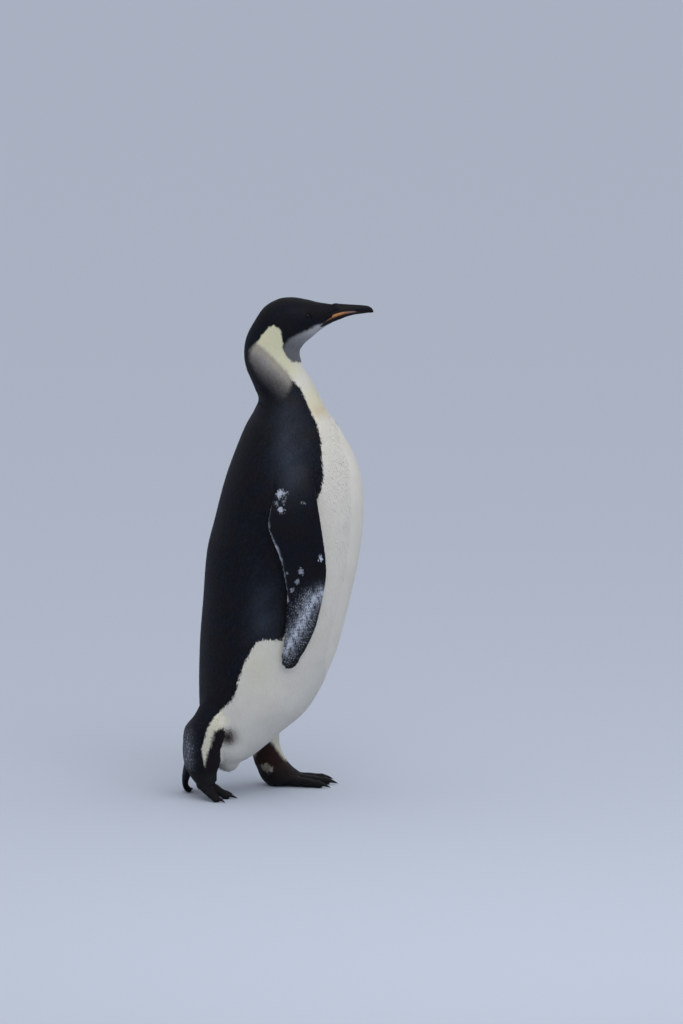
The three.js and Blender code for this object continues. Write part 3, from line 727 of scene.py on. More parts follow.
def markings(points, normals, part):
    """How black, cream, grey, yellow, brown, frosted and so on the plumage is at each point, 0 to 1."""
    view = side_view(points) + np.stack([ripple(points, 14, 5), ripple(points, 14, 6)], -1) * 0.45
    white = soft(inside(view, WHITE), 1.8)
    paling = THROAT_PALE - THROAT_DARK
    along_throat = np.clip(((view - THROAT_DARK) @ paling) / (paling @ paling), 0, 1)
    throat = soft(inside(view, THROAT), 4.5) * (0.28 + 0.72 * along_throat**2)
    # Painted sheen: paler, bluer patches on the black mantle, a highlight on the shoulder and frost with
    # sheen on the flank.
    sheen_and_frost = sum(blob(view, *spot) for spot in SHEEN_FROST_PATCHES)
    sheen_and_frost *= (1 - white) * np.clip(1 + 0.3 * ripple(points, 60, 43), 0.5, 1.5)
    below = np.clip(line_distance(view, GREY_EDGE) / 25 - 0.12, 0, 1)
    grey = soft(inside(view, GREY), 5.5) * np.interp(view[:, 1], NECK_FADE, [1, 0.2])
    tan = grey * near_line(view, GREY_EDGE, 5)
    grey = grey * (1 - below) ** 1.5
    white, brown, pale_heel = leg_marks(points, view, white, part)

    lower = soft(610 - points[:, 2], 60)
    facing_body = soft(-normals[:, 1] * np.sign(points[:, 1]) - 0.15, 0.4)
    white = np.where(part == ON_FLIPPER, facing_body * lower, white)
    white = np.where(part == ON_TAIL, soft(points[:, 0] + 122 + 0.35 * (150 - points[:, 2]), 14), white)
    on_body = part == ON_BODY
    cream = np.maximum(soft(inside(view, CREAM) + 2, 16), blob(view, *FLANK_CREAM))
    marks = {"grey": grey, "throat": throat, "yellow": blob(view, *YELLOW), "ochre": blob(view, *OCHRE)}
    marks = {name: values * on_body for name, values in marks.items()}
    marks["black"], marks["sheen_and_frost"], marks["brown"] = 1 - white, sheen_and_frost, brown
    marks["cream"] = np.where(part == ON_LEG, 0.5, cream * on_body)
    marks["tan"] = np.maximum(0.5 * tan * on_body, 0.85 * pale_heel * (part == ON_LEG))
    marks["frost"] = np.maximum(rime(points, view, part, normals[:, 1]),
                                0.75 * pale_heel * (part == ON_FOOT))
    return marks


def store(mesh, name, values, kind="FLOAT", domain="POINT", key="value"):
    """Keeps values on a mesh as an attribute. A single value goes to every point."""
    if np.ndim(values) == 0:
        values = np.full(len(mesh.vertices), values)
    attribute = mesh.attributes.new(name, kind, domain)
    attribute.data.foreach_set(key, np.asarray(values, np.float32).ravel())


# ---------------------------------------------------------------- feathers

ROW_RATIO = 0.87  # row spacing over spacing across, as in a honeycomb
STRAY = 0.16  # how far a feather may stray from its place, over the spacing
SWING = 0.09  # spread of the angle by which feathers turn from their lie, in radians
# One feather: along, across and above, as shares of its length, width and lift. It starts in the skin.
# The faces of each kind are listed top first; the shading of a top turns sideways by "turn".
VANE = {
    "points": np.array([
        [0.00, 0.00, 0.00],  # root
        [0.40, 0.50, 0.36],
        [0.80, 0.38, 0.74],
        [1.00, 0.00, 1.00],  # tip
        [0.80, -0.38, 0.74],
        [0.40, -0.50, 0.36],
        [0.60, 0.00, 0.72],  # top of the arch
    ]),
    "top": np.array([[0, 5, 6], [5, 4, 6], [4, 3, 6], [3, 2, 6], [2, 1, 6], [1, 0, 6]]),
    "under": np.array([[0, 1, 5], [1, 2, 5], [2, 4, 5], [2, 3, 4]]),
    "turn": np.array([0, 0.45, 0.4, 0, -0.4, -0.45, 0]),
}
# The smallest feathers, on the head, flippers and ankles, are plain kites.
KITE = {
    "points": np.array([
        [0.00, 0.00, 0.00],  # root
        [0.55, 0.50, 0.55],
        [1.00, 0.00, 1.00],  # tip
        [0.55, -0.50, 0.55],
        [0.58, 0.00, 0.70],  # top of the arch
    ]),
    "top": np.array([[0, 3, 4], [3, 2, 4], [2, 1, 4], [1, 0, 4]]),
    "under": np.array([[0, 1, 3], [1, 2, 3]]),
    "turn": np.array([0, 0.45, 0, -0.45, 0]),
}
ARCH = 0.085  # height of the arch over the width of a feather
ROOT_SINK = 0.35  # how far the root is sunk in the skin, over the lift of the tip
TUFT_PATCH = 0.003  # size of one feather on the bake map


def staggered_rows(surface, start, end, spacing):
    """Places over a loft in staggered rows about one spacing apart: stations and angles."""
    angle = np.linspace(0, TAU, 121)
    ahead = 0.02
    u, odd, places = start, 0, []
    while u < end:
        here = surface(u, angle)
        rate = np.linalg.norm(surface(u + ahead, angle) - here, axis=1) / ahead
        gap = spacing(u)
        step = gap * ROW_RATIO / max(rate.max(), 1e-6)
        lengths = np.concatenate([[0], np.cumsum(np.linalg.norm(np.diff(here, axis=0), axis=1))])
        count = max(3, int(lengths[-1] / gap))
        spots = (np.arange(count) + 0.5 * odd + RNG.uniform(-STRAY, STRAY, count)) / count * lengths[-1]
        angles = np.interp(spots % lengths[-1], lengths, angle)
        crowded = np.interp(angles, angle, rate) * step / (gap * ROW_RATIO)
        kept = angles[RNG.random(count) < crowded]
        places.append(np.stack([u + step * RNG.uniform(-STRAY, STRAY, len(kept)), kept], -1))
        u, odd = u + step, 1 - odd
    return np.concatenate(places)


def nearest_on_skin(tree, normals, triangles, points):
    """The nearest skin point to each, the smooth normal there and how far away it is."""
    spots, ways, gaps = np.zeros_like(points), np.zeros_like(points), np.zeros(len(points))
    for i, p in enumerate(points.tolist()):
        spot, _, face, gap = tree.find_nearest(p)
        spots[i], gaps[i] = spot, gap
        ways[i] = normals[triangles[face]].mean(0)
    return spots, ways / np.linalg.norm(ways, axis=1, keepdims=True), gaps


# Feather sizes by station: spacing, length, width and lift of the tip.
BODY_SIZES = np.array([
    [-1, 2.8, 19, 4.6, 3.6],
    [0, 2.9, 15, 4.7, 2.4],
    [2, 2.95, 13, 4.5, 1.7],
    [10, 2.95, 12.5, 4.4, 1.6],
    [12, 2.5, 10.5, 3.9, 1.4],
    [14, 2.0, 8.5, 3.2, 1.2],
    [NAPE, 1.7, 6.8, 2.7, 1.0],
    [16, 1.5, 5.8, 2.2, 0.9],
    [FACE, 1.35, 4.8, 1.9, 0.75],
    [22, 1.2, 3.2, 1.7, 0.55],
    [23, 1.1, 2.6, 1.5, 0.5],
])
SLEEVE_SIZES = np.array([[0, 1.1, 2.6, 1.5, 0.4], [1, 1.0, 2.2, 1.3, 0.3]])
SMALL = 6.6  # feathers shorter than this are kites
FLIPPER_SIZES = np.array([[0, 2.4, 8, 4.0, 1.3], [1.5, 2.2, 6.0, 3.4, 1.0], [3, 1.9, 4.4, 2.9, 0.8],
                          [7, 1.75, 3.6, 2.6, 0.65], [11, 1.6, 3.0, 2.3, 0.5]])
LEG_SIZES = np.array([[0, 2.5, 10, 4.2, 1.9], [3, 2.2, 8, 3.6, 1.7], [5, 1.9, 6.8, 2.8, 1.5]])
TAIL_SIZES = np.array([[0, 2.8, 13, 5.0, 2.4], [TAIL_ROOT, 2.6, 17, 5.6, 2.0]])
ANKLE_FRINGE = 0.9  # stations over which the feathers give way to the scales of the foot
HIDDEN, HIDDEN_FOLD = 4.0, 7.0  # a place further than this from the skin is inside the bird
EYE_CLEAR = 8.6  # radius round each eye with no feathers
CAP_X, BILL_FACING = 100.0, 0.8  # the skin in front of this that faces the bill is bare
SHOWING = 0.75  # share of a feather's length at which its markings are read


def sizes_at(table, u):
    """Length, width and lift of the feathers at stations u."""
    return np.stack([np.interp(u, table[:, 0], table[:, k]) for k in (2, 3, 4)], -1)


def plant(skin_tree, surface, span, sizes, towards, part, patch, fringe=0.0, hidden=HIDDEN):
    """The feathers of one loft: root, normal, lie, part, size and spot on the bake map of each.

    towards is +1 where they lie to higher stations. patch is the loft's share of the bake map. Over the
    last stretch of that many stations, the fringe, they grow sparse.
    """
    def spacing(u):
        return float(np.interp(u, sizes[:, 0], sizes[:, 1]))
    spots = staggered_rows(surface, *span, spacing)
    u, angle = spots[:, 0], spots[:, 1]
    points = surface(u, angle)
    lie = (surface(u + 0.03, angle) - surface(u - 0.03, angle)) * towards
    root, normal, gap = nearest_on_skin(*skin_tree, points)
    lie -= normal * np.einsum("ij,ij->i", lie, normal)[:, None]
    length = np.linalg.norm(lie, axis=1)
    cap = abs(normal[:, 0]) > BILL_FACING
    keep = (gap < hidden) & (length > 1e-6) & ~(cap & (points[:, 0] > CAP_X))
    if fringe:
        keep &= RNG.random(len(u)) > (u - span[1] + fringe) / fringe
    lie = lie / np.maximum(length, 1e-9)[:, None]
    size = sizes_at(sizes, u) * RNG.normal(1, 0.08, (len(u), 1)).clip(0.7, 1.3)
    left, bottom, wide, tall = patch
    uv = np.stack([left + wide * angle / TAU, bottom + tall * (u - span[0]) / (span[1] - span[0])], -1)
    codes = np.full(len(u), part)
    return [values[keep] for values in (root, normal, lie, codes, size, uv)]


def coat_mesh(name, kind, root, normal, lie, size, uv, marks):
    """One mesh of closed feathers of one kind."""
    count, shape = len(root), kind["points"][None]
    across = np.cross(normal, lie)
    length, width, lift = (size[:, k, None, None] for k in range(3))
    swing = RNG.normal(0, SWING, count)[:, None]
    lie = lie * np.cos(swing) + across * np.sin(swing)
    across = np.cross(normal, lie)
    arch = np.zeros(shape.shape[1])
    arch[-1] = ARCH
    height = (shape[..., 2:3] - ROOT_SINK) * lift + arch[None, :, None] * width
    verts = (root[:, None] + lie[:, None] * shape[..., 0:1] * length
             + across[:, None] * shape[..., 1:2] * width + normal[:, None] * height)
    faces = np.concatenate([kind["top"], kind["under"]])
    step = shape.shape[1]
    corners = (faces[None] + (np.arange(count) * step)[:, None, None]).reshape(-1, 3)

    mesh = bpy.data.meshes.new(name)
    mesh.vertices.add(count * step)
    mesh.vertices.foreach_set("co", place(verts.reshape(-1, 3)).astype(np.float32).ravel())
    mesh.loops.add(len(corners) * 3)
    mesh.loops.foreach_set("vertex_index", corners.astype(np.int32).ravel())
    mesh.polygons.add(len(corners))
    mesh.polygons.foreach_set("loop_start", np.arange(len(corners), dtype=np.int32) * 3)
    mesh.polygons.foreach_set("use_smooth", np.ones(len(corners), bool))
    mesh.update(calc_edges=True)
    layer = mesh.uv_layers.new(name="OFBake")
    local = (shape[..., 0:2] - np.array([0.5, 0])) * TUFT_PATCH
    tuft = (uv[:, None] + local).reshape(-1, 2)
    layer.data.foreach_set("uv", tuft[corners.ravel()].astype(np.float32).ravel())
    for key, values in marks.items():
        store(mesh, key, np.repeat(values, step))
    store(mesh, "tip", np.tile(shape[0, :, 0], count))
    store(mesh, "lot", np.repeat(RNG.random(count), step))

    # Tops are shaded as part of the smooth coat, undersides as facing the skin.
    smooth = normal[:, None] + across[:, None] * kind["turn"][None, :, None] * 0.5
    smooth += lie[:, None] * (shape[..., 0:1] - 0.5) * 0.3
    smooth /= np.linalg.norm(smooth, axis=-1, keepdims=True)
    shading = smooth[:, faces]
    shading[:, len(kind["top"]):] = -normal[:, None, None]
    store(mesh, "custom_normal", shading, "FLOAT_VECTOR", "CORNER", "vector")
    ends = np.zeros(len(mesh.edges) * 2, np.int32)
    mesh.edges.foreach_get("vertices", ends)
    ends = np.sort(ends.reshape(-1, 2) % step, axis=1)
    rim = (ends[:, 1] < step - 1) & ((np.diff(ends)[:, 0] == 1) | (np.diff(ends)[:, 0] == step - 2))
    mesh.edges.foreach_set("use_edge_sharp", rim)
    return in_scene(name, mesh)


# ---------------------------------------------------------------- materials


def linear(code, alpha=1.0):
    """An sRGB hex colour as linear red, green, blue and alpha."""
    parts = [int(code[i:i + 2], 16) / 255 for i in (1, 3, 5)]
    return (*(c / 12.92 if c <= 0.04045 else ((c + 0.055) / 1.055) ** 2.4 for c in parts), alpha)


def add_node(tree, kind, inputs=(), out=0, **settings):
    """Adds a node with its settings and links, and returns one of its outputs.

    inputs are values, hex colours or other nodes' outputs, in the order of the sockets or by socket.
    """
    made = tree.nodes.new("ShaderNode" + kind)
    for key, value in settings.items():
        setattr(made, key, value)
    for key, value in inputs.items() if isinstance(inputs, dict) else enumerate(inputs):
        if isinstance(value, bpy.types.NodeSocket):
            tree.links.new(value, made.inputs[key])
        else:
            made.inputs[key].default_value = linear(value) if isinstance(value, str) else value
    return made.outputs[out]


COLOURS = {"out": 2, "data_type": "RGBA"}  # makes a Mix node blend colours: share 0, from 6, to 7
SOCKETS = {"colour": "Base Color", "rough": "Roughness", "ior": "IOR", "shine": "Specular IOR Level",
           "sheen": "Sheen Weight", "sheen_rough": "Sheen Roughness", "sheen_tint": "Sheen Tint",
           "coat": "Coat Weight", "coat_rough": "Coat Roughness"}


def new_material(name, **constants):
    """A new material with constants set on its Principled shader: itself, its nodes and the shader."""
    material = bpy.data.materials.new(name)
    material.use_nodes = True
    shader = material.node_tree.nodes["Principled BSDF"]
    for key, value in constants.items():
        shader.inputs[SOCKETS[key]].default_value = value
    return material, material.node_tree, shader


def per_metre(size):
    """Scale of a pattern whose features are that many millimetres across."""
    return 1 / (size * MM)


def tinted(tree, colour, tints):
    """A colour with tints laid over it in turn, each by the strength of its mark."""
    for mark, tint in tints.items():
        strength = add_node(tree, "Attribute", out="Fac", attribute_name=mark)
        colour = add_node(tree, "Mix", {0: strength, 6: colour, 7: tint}, **COLOURS)
    return colour


def surface_of(tree, shader, colour, rough, relief, strength, depth):
    """Links a colour, a roughness and a fine relief of that depth in millimetres to the shader."""
    tree.links.new(colour, shader.inputs["Base Color"])
    tree.links.new(rough, shader.inputs["Roughness"])
    bump = add_node(tree, "Bump", {"Height": relief, "Strength": strength, "Distance": depth * MM})
    tree.links.new(bump, shader.inputs["Normal"])


BELLY_WHITE, BELLY_SHADE = "#d8d5cc", "#cdc9c0"
MANTLE_BLACK, MANTLE_BROWN, MANTLE_TIP = "#0d1019", "#131013", "#1c212b"
# Tints laid over white plumage, then over all of it. The first tint over all of it is painted sheen on the
# mantle, with some frost on the flank.
WHITE_TINTS = {"cream": "#cfccae", "yellow": "#d2cea6", "ochre": "#cdbda0"}
OVER_TINTS = {"sheen_and_frost": "#3a424f", "grey": "#9c9894", "tan": "#a19981", "throat": "#a9aaaf",
              "brown": "#2a1a16", "frost": "#bcc4d2"}
CLOUDS, BARBS = 41.7, 2.38  # millimetres across: patches of wear, and clumps of barbs


def plumage(name, roughness, sheen, shine, depth):
    """Feathers: tightly packed barbs, matte and slightly velvety, each feather a little unlike the next.

    depth is how much lighter or darker than the coat a single feather may be.
    """
    material, tree, shader = new_material(name, shine=shine, sheen=sheen, sheen_rough=0.4,
                                          sheen_tint=linear("#c9d2e2"))
    where = add_node(tree, "TexCoord", out="Object")
    cloudy = add_node(tree, "TexNoise", {"Vector": where, "Scale": per_metre(CLOUDS), "Detail": 3.0})
    fine = add_node(tree, "TexNoise", {"Vector": where, "Scale": per_metre(BARBS), "Detail": 2.0})
    lot, tip, dark = (add_node(tree, "Attribute", out="Fac", attribute_name=mark)
                      for mark in ("lot", "tip", "black"))
    shaded = add_node(tree, "MapRange", (cloudy, 0.35, 0.7, 0.0, 0.6))
    white = add_node(tree, "Mix", {0: shaded, 6: BELLY_WHITE, 7: BELLY_SHADE}, **COLOURS)
    browned = add_node(tree, "MapRange", (cloudy, 0.42, 0.62, 0.0, 0.9))
    black = add_node(tree, "Mix", {0: browned, 6: MANTLE_BLACK, 7: MANTLE_BROWN}, **COLOURS)
    wear = add_node(tree, "Math", (tip, lot), operation="MULTIPLY")
    worn = add_node(tree, "MapRange", (wear, 0.3, 1.0, 0.0, 0.5))
    black = add_node(tree, "Mix", {0: worn, 6: black, 7: MANTLE_TIP}, **COLOURS)
    plain = add_node(tree, "Mix", {0: dark, 6: tinted(tree, white, WHITE_TINTS), 7: black}, **COLOURS)
    value = add_node(tree, "MapRange", (lot, 0.0, 1.0, 1 - depth, 1 + depth))
    uneven = add_node(tree, "HueSaturation", {"Color": tinted(tree, plain, OVER_TINTS), "Value": value})
    rough = add_node(tree, "MapRange", (fine, 0.3, 0.7, roughness - 0.08, roughness + 0.08))
    surface_of(tree, shader, uneven, rough, fine, 0.2, 0.5)
    return material


SCUTES, BLOTCHES = 3.03, 11.1  # millimetres across


def scaly_skin():
    """Foot skin: black keratin scutes like fine lizard leather, with a dry, dusty coating in the creases."""
    material, tree, shader = new_material("foot_scutes", shine=0.13)
    where = add_node(tree, "TexCoord", out="Object")
    cells = add_node(tree, "TexVoronoi", {"Vector": where, "Scale": per_metre(SCUTES)},
                     feature="DISTANCE_TO_EDGE")
    blotchy = add_node(tree, "TexNoise", {"Vector": where, "Scale": per_metre(BLOTCHES), "Detail": 4.0})
    raised = add_node(tree, "MapRange", (cells, 0.0, 0.16, 0.0, 1.0))
    dusty = add_node(tree, "MapRange", (raised, 0.0, 1.0, 0.6, 0.0))
    skin = add_node(tree, "Mix", {0: blotchy, 6: "#090a0c", 7: "#131317"}, **COLOURS)
    skin = add_node(tree, "Mix", {0: dusty, 6: skin, 7: "#201f21"}, **COLOURS)
    skin = tinted(tree, skin, {"brown": "#2c1b17", "frost": "#9b958c"})
    rough = add_node(tree, "MapRange", (blotchy, 0.3, 0.7, 0.5, 0.7))
    surface_of(tree, shader, skin, rough, raised, 0.7, 0.8)
    return material


GROWTH_LINES = (16.7, 1.11, 1.11)  # millimetres: how long the lines are, and how far apart
PLATE_TINTS = {"plate": "#6a361d", "plate_core": "#c98f60", "plate_front": "#6f6d78"}


def horn(name, dark, light, roughness):
    """Keratin horn, polished by wear, with long fine growth lines."""
    material, tree, shader = new_material(name, ior=1.55, shine=0.1)
    where = add_node(tree, "TexCoord", out="Object")
    stretched = add_node(tree, "Mapping", {"Vector": where, "Scale": [per_metre(d) for d in GROWTH_LINES]})
    lines = add_node(tree, "TexNoise", {"Vector": stretched, "Scale": 1.0, "Detail": 3.0})
    light_line = add_node(tree, "MapRange", (lines, 0.35, 0.7, 0.0, 1.0))
    colour = add_node(tree, "Mix", {0: light_line, 6: dark, 7: light}, **COLOURS)
    rough = add_node(tree, "MapRange", (lines, 0.3, 0.7, roughness - 0.06, roughness + 0.1))
    surface_of(tree, shader, tinted(tree, colour, PLATE_TINTS), rough, lines, 0.2, 0.4)
    return material


SPOKES = 1.11  # millimetres between the spokes of the iris


def eye_material():
    """The eye under its clear wet cornea: brown-black iris with fine spokes and a black pupil."""
    material, tree, shader = new_material("wet_eye", rough=0.08, ior=1.376, shine=0.12, coat=0.12,
                                          coat_rough=0.02)
    ring = add_node(tree, "Attribute", out="Fac", attribute_name="ring")
    where = add_node(tree, "TexCoord", out="Object")
    spokes = add_node(tree, "TexNoise", {"Vector": where, "Scale": per_metre(SPOKES), "Detail": 2.0})
    past_pupil = add_node(tree, "MapRange", (ring, 0.40, 0.46, 0.0, 1.0))
    past_iris = add_node(tree, "MapRange", (ring, 0.82, 0.95, 0.0, 1.0))
    iris = add_node(tree, "Mix", {0: spokes, 6: "#0a0604", 7: "#180e09"}, **COLOURS)
    colour = add_node(tree, "Mix", {0: past_pupil, 6: "#030303", 7: iris}, **COLOURS)
    colour = add_node(tree, "Mix", {0: past_iris, 6: colour, 7: "#0a0706"}, **COLOURS)
    tree.links.new(colour, shader.inputs["Base Color"])
    return material


# ---------------------------------------------------------------- building the bird


def dress(obj, material, slot, *nodes):
    """Gives a piece its material and its place in the frame, and hides the solids that it stands for."""
    obj.data.materials.clear()
    obj.data.materials.append(material)
    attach(obj, "root")
    if nodes:
        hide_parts(*nodes)


under_coat = plumage("down_under_coat", 0.8, 0.0, 0.05, 0.0)
white_feather = plumage("belly_feather", 0.65, 0.05, 0.2, 0.025)
black_feather = plumage("mantle_feather", 0.5, 0.0, 0.09, 0.12)
flipper_feather = plumage("flipper_scale_feather", 0.45, 0.0, 0.09, 0.1)
foot_skin = scaly_skin()
claw_horn = horn("claw_horn", "#0c0c0e", "#1c1b1d", 0.35)
bill_horn = horn("bill_horn", "#08080d", "#131219", 0.38)
wet_eye = eye_material()

skin, skin_part = make_skin()
skin_points, skin_normals = points_of(skin.data)
for key, values in {**markings(skin_points, skin_normals, skin_part), "tip": 0.2, "lot": 0.4}.items():
    store(skin.data, key, values)
dress(skin, under_coat, "plumage_white", "trunk", "neck", "head", "leg_right", "leg_left",
      "flipper_right", "flipper_left", "foot_right", "foot_left", "tail")
skin.data.materials.append(foot_skin)
skin_corners = [tuple(p.vertices) for p in skin.data.polygons]
for polygon, corners in zip(skin.data.polygons, skin_corners):
    polygon.material_index = int(skin_part[corners[0]] == ON_FOOT)

skin_tree = (BVHTree.FromPolygons(skin_points.tolist(), skin_corners), skin_normals,
             [np.array(c) for c in skin_corners])
# Each loft's feathers: its span of stations, their sizes, which way they lie, their part and patch.
planted = [plant(skin_tree, body_surface, (-0.97, BODY_END - 0.06), BODY_SIZES, -1, ON_BODY,
                 (0.02, 0.02, 0.56, 0.96), hidden=HIDDEN_FOLD)]
for side, shelf in ((RIGHT, 0.02), (LEFT, 0.52)):
    planted.append(plant(skin_tree, flipper_surface(side), (0.4, 10.9), FLIPPER_SIZES, 1, ON_FLIPPER,
                         (0.62, shelf, 0.16, 0.46)))
    planted.append(plant(skin_tree, leg_surface(side), (0.2, ANKLE[side] + ANKLE_FRINGE / 2), LEG_SIZES, 1,
                         ON_LEG, (0.82, shelf, 0.16, 0.46), ANKLE_FRINGE))
planted.append(plant(skin_tree, sleeve_surface, (0.2, SLEEVE_END), SLEEVE_SIZES, -1, ON_BODY,
                     (0.02, 0.985, 0.56, 0.01)))
planted.append(plant(skin_tree, tail_surface, (0.2, TAIL_ROOT - 0.1), TAIL_SIZES, 1, ON_TAIL,
                     (0.02, 0.0, 0.56, 0.015)))
plumes = [np.concatenate(kept) for kept in zip(*planted)]
eye_gap = np.minimum(*(np.linalg.norm(plumes[0] - EYE * [1, side, 1], axis=1) for side in (RIGHT, LEFT)))
root, normal, lie, part, size, uv = (values[eye_gap >= EYE_CLEAR] for values in plumes)
marks = markings(root + lie * size[:, 0:1] * SHOWING, normal, part)

dark = marks["black"] > 0.5
small = size[:, 0] < SMALL
TONES = {"dark": (black_feather, "plumage_black"), "pale": (white_feather, "plumage_white")}
KINDS = {"vane": (VANE, 19000), "kite": (KITE, 32000)}  # the shape, and how many go in one mesh
for code, label, looks in (
    (ON_BODY, "body", None),
    (ON_FLIPPER, "flipper", (flipper_feather, "plumage_black")),
    (ON_LEG, "leg", (black_feather, "plumage_leg")),
    (ON_TAIL, "rump", (black_feather, "plumage_black")),
):
    for tone, kind in (("dark", "vane"), ("dark", "kite"), ("pale", "vane"), ("pale", "kite")):
        shape, most = KINDS[kind]
        members = np.nonzero((part == code) & (dark == (tone == "dark")) & (small == (kind == "kite")))[0]
        members = members[np.argsort(root[members, 2], kind="stable")]
        batches = np.array_split(members, max(1, math.ceil(len(members) / most)))
        for n, batch in enumerate(batches):
            if len(batch):
                their_marks = {key: values[batch] for key, values in marks.items()}
                coat = coat_mesh(f"coat_{label}_{tone}_{kind}_{n}", shape, root[batch], normal[batch],
                                 lie[batch], size[batch], uv[batch], their_marks)
                dress(coat, *(looks or TONES[tone]))


# ---------------------------------------------------------------- eyes and lids


LID_OPENING, LID_SPREAD = 6.0, 10.6  # radii of the eye's opening and of the lids


def eyeball(side):
    """A smooth eye. ring runs from 0 at the middle of the pupil to 1 at the edge of the lids."""
    centre = EYE * [1, side, 1]

    def surface(turn, angle):
        turn, angle = np.broadcast_arrays(turn, angle)
        flat = np.sin(turn)
        way = np.stack([flat * np.cos(angle), side * np.cos(turn), flat * np.sin(angle)], -1)
        return centre + EYE_RADIUS * way
    verts, faces = tube(surface, np.linspace(0.02, math.pi - 0.02, 30), 48)
    ball = make_object(f"eyeball_{SIDE_NAMES[side]}", verts, faces)
    across = np.linalg.norm((verts - centre)[:, [0, 2]], axis=1)
    behind = (verts - centre)[:, 1] * side < 0
    store(ball.data, "ring", np.where(behind, 1.0, np.clip(across / LID_OPENING, 0, 1)))
    return ball


def eyelids(side, tree):
    """A fleshy rim that hugs the eye and sinks into the head, a closed ring of skin."""
    centre = EYE * [1, side, 1]
    sides, rings = 48, []
    for a in np.arange(sides) * TAU / sides:
        level = 1 - 0.16 * math.sin(a) ** 2
        way = np.array([math.cos(a), 0, math.sin(a)])
        outer = centre + way * LID_SPREAD
        hit = tree.ray_cast(Vector((outer[0], side * 80, outer[2])), Vector((0, -side, 0)))[0]
        skin_y = abs(hit[1]) if hit else EYE[1]
        opening = LID_OPENING * level
        eye_y = EYE[1] + math.sqrt(EYE_RADIUS**2 - opening**2)
        profile = [
            (opening + 0.2, eye_y - 1.2), (opening, eye_y + 0.25), (opening + 0.7, eye_y + 0.85),
            (opening + 1.6, eye_y + 0.55), (opening + 2.9, (eye_y + skin_y) / 2 + 0.5),
            (LID_SPREAD, skin_y - 0.6), (LID_SPREAD - 0.6, skin_y - 2.4), (opening + 1.6, eye_y - 2.4),
        ]
        rings.append([(centre + way * r) * [1, 0, 1] + [0, side * y, 0] for r, y in profile])
    return np.array(rings).reshape(-1, 3), faces_between(sides, len(rings[0]), closed=True)


for side in (RIGHT, LEFT):
    dress(eyeball(side), wet_eye, "eye", f"eye_{SIDE_NAMES[side]}")
    lids = make_object(f"eyelids_{SIDE_NAMES[side]}", *eyelids(side, skin_tree[0]))
    for key, value in (("black", 1.0), ("tip", 0.3), ("lot", 0.3)):
        store(lids.data, key, value)
    dress(lids, under_coat, "plumage_black")


# ---------------------------------------------------------------- bill


NOSTRIL_GROOVE = 0.1  # how deep the long groove along the upper half is, over its half width
GROOVE_ANGLE, GROOVE_WIDTH = 0.15, 0.13  # where the groove is on the ring and how wide, as cosines
HOOK = 7  # station where the groove ends and the hook begins
HIDDEN_BILL = 1.4  # station of the upper half where the horn starts, under the feathers


def bill_half(outer, start, tip, squareness, fullness):
    """One half of the bill, from a station to its closed tip.

    outer is 1 for the upper half and -1 for the lower one. Each is boxy where it meets the other.
    """
    last = len(BILL) - 1
    top, bottom = (1, 2) if outer > 0 else (2, 3)

    def surface(u, angle):
        u, angle = np.broadcast_arrays(u, angle)
        row = along(BILL, u)
        zero = np.zeros(u.shape)
        # The horn lies a little deeper where feathers cover it, and dives under them at the gape.
        deeper = 0.7 * np.clip(3 - u, 0, 1) + 3.5 * np.clip(0.8 - u, 0, 1)
        upper, lower = row[..., top], row[..., bottom]
        middle = np.stack([row[..., 0], zero, (upper + lower) / 2 - outer * deeper / 2], -1)
        high = np.stack([zero, zero, (upper - lower) / 2 - MOUTH_GAP / 4 - deeper / 2], -1)
        notch = np.exp(-((np.cos(angle) - GROOVE_ANGLE) / GROOVE_WIDTH) ** 2)
        notch = NOSTRIL_GROOVE * notch * np.clip((HOOK - u) / 5, 0, 1) * (outer > 0)
        wide = np.stack([zero, (row[..., 4] - deeper) * (1 - notch), zero], -1)
        boxiness = np.where(outer * np.cos(angle) < 0, MOUTH_SQUARENESS, squareness)
        ring = oval(middle, high, wide, angle, boxiness, fullness)
        closing = math.pi / 2 * np.clip(u - last, 0, 1)[..., None]
        return (ring - middle) * np.cos(closing) + middle + (np.array(tip) - middle) * np.sin(closing)
    return tube(surface, rows_to_dome(start, last, 100, 10), 48)


# The coloured plate along each side of the lower half, in the side view. It is brown at its edges,
# orange along its middle and grey at its front end.
PLATE = [(318.8, 324.3), (325, 319.6), (331, 316.4), (338, 313.9), (345, 312), (352, 311.4), (357, 311.5)]
PLATE_END, PLATE_FADE = 343, 357  # columns between which the colour fades to grey
PLATE_DULL = 14  # columns at the gape over which the orange is still dull

upper = make_object("bill_upper_horn", *bill_half(1, HIDDEN_BILL, UPPER_TIP, *UPPER_ROUND))
dress(upper, bill_horn, "bill_horn", "bill_upper")
lower = make_object("bill_lower_horn", *bill_half(-1, 0, LOWER_TIP, *LOWER_ROUND))
dress(lower, bill_horn, "bill_plate", "bill_lower")
view = side_view(points_of(lower.data)[0])
fade = np.clip((view[:, 0] - PLATE_END) / (PLATE_FADE - PLATE_END), 0, 1)
rear = np.clip((view[:, 0] - PLATE[0][0]) / PLATE_DULL, 0, 1)
store(lower.data, "plate", np.exp(-(line_distance(view, PLATE) / 1.7) ** 4) * (1 - fade))
store(lower.data, "plate_core", near_line(view, PLATE, 1.0) * (1 - fade) * (0.25 + 0.75 * rear))
store(lower.data, "plate_front", near_line(view, PLATE, 0.9) * fade * (1 - fade) * 3)


# ---------------------------------------------------------------- claws


def claw(root, heading, length, radius, drop):
    """A curved claw, deeper than wide, with a flattened underside."""
    side = np.cross([0, 0, 1], heading)
    side /= np.linalg.norm(side)

    def surface(u, angle):
        u, angle = np.broadcast_arrays(u, angle)
        t = u[..., None]
        centre = root + heading * length * t - np.array([0, 0, drop]) * t * t
        r = radius * np.clip(1 - t, 0, 1) ** 0.7
        return oval(centre, np.array([0, 0, 1.0]) * r, side * r * 0.8, angle, 2, -0.15)
    return tube(surface, np.linspace(0, 0.995, 30), 24)


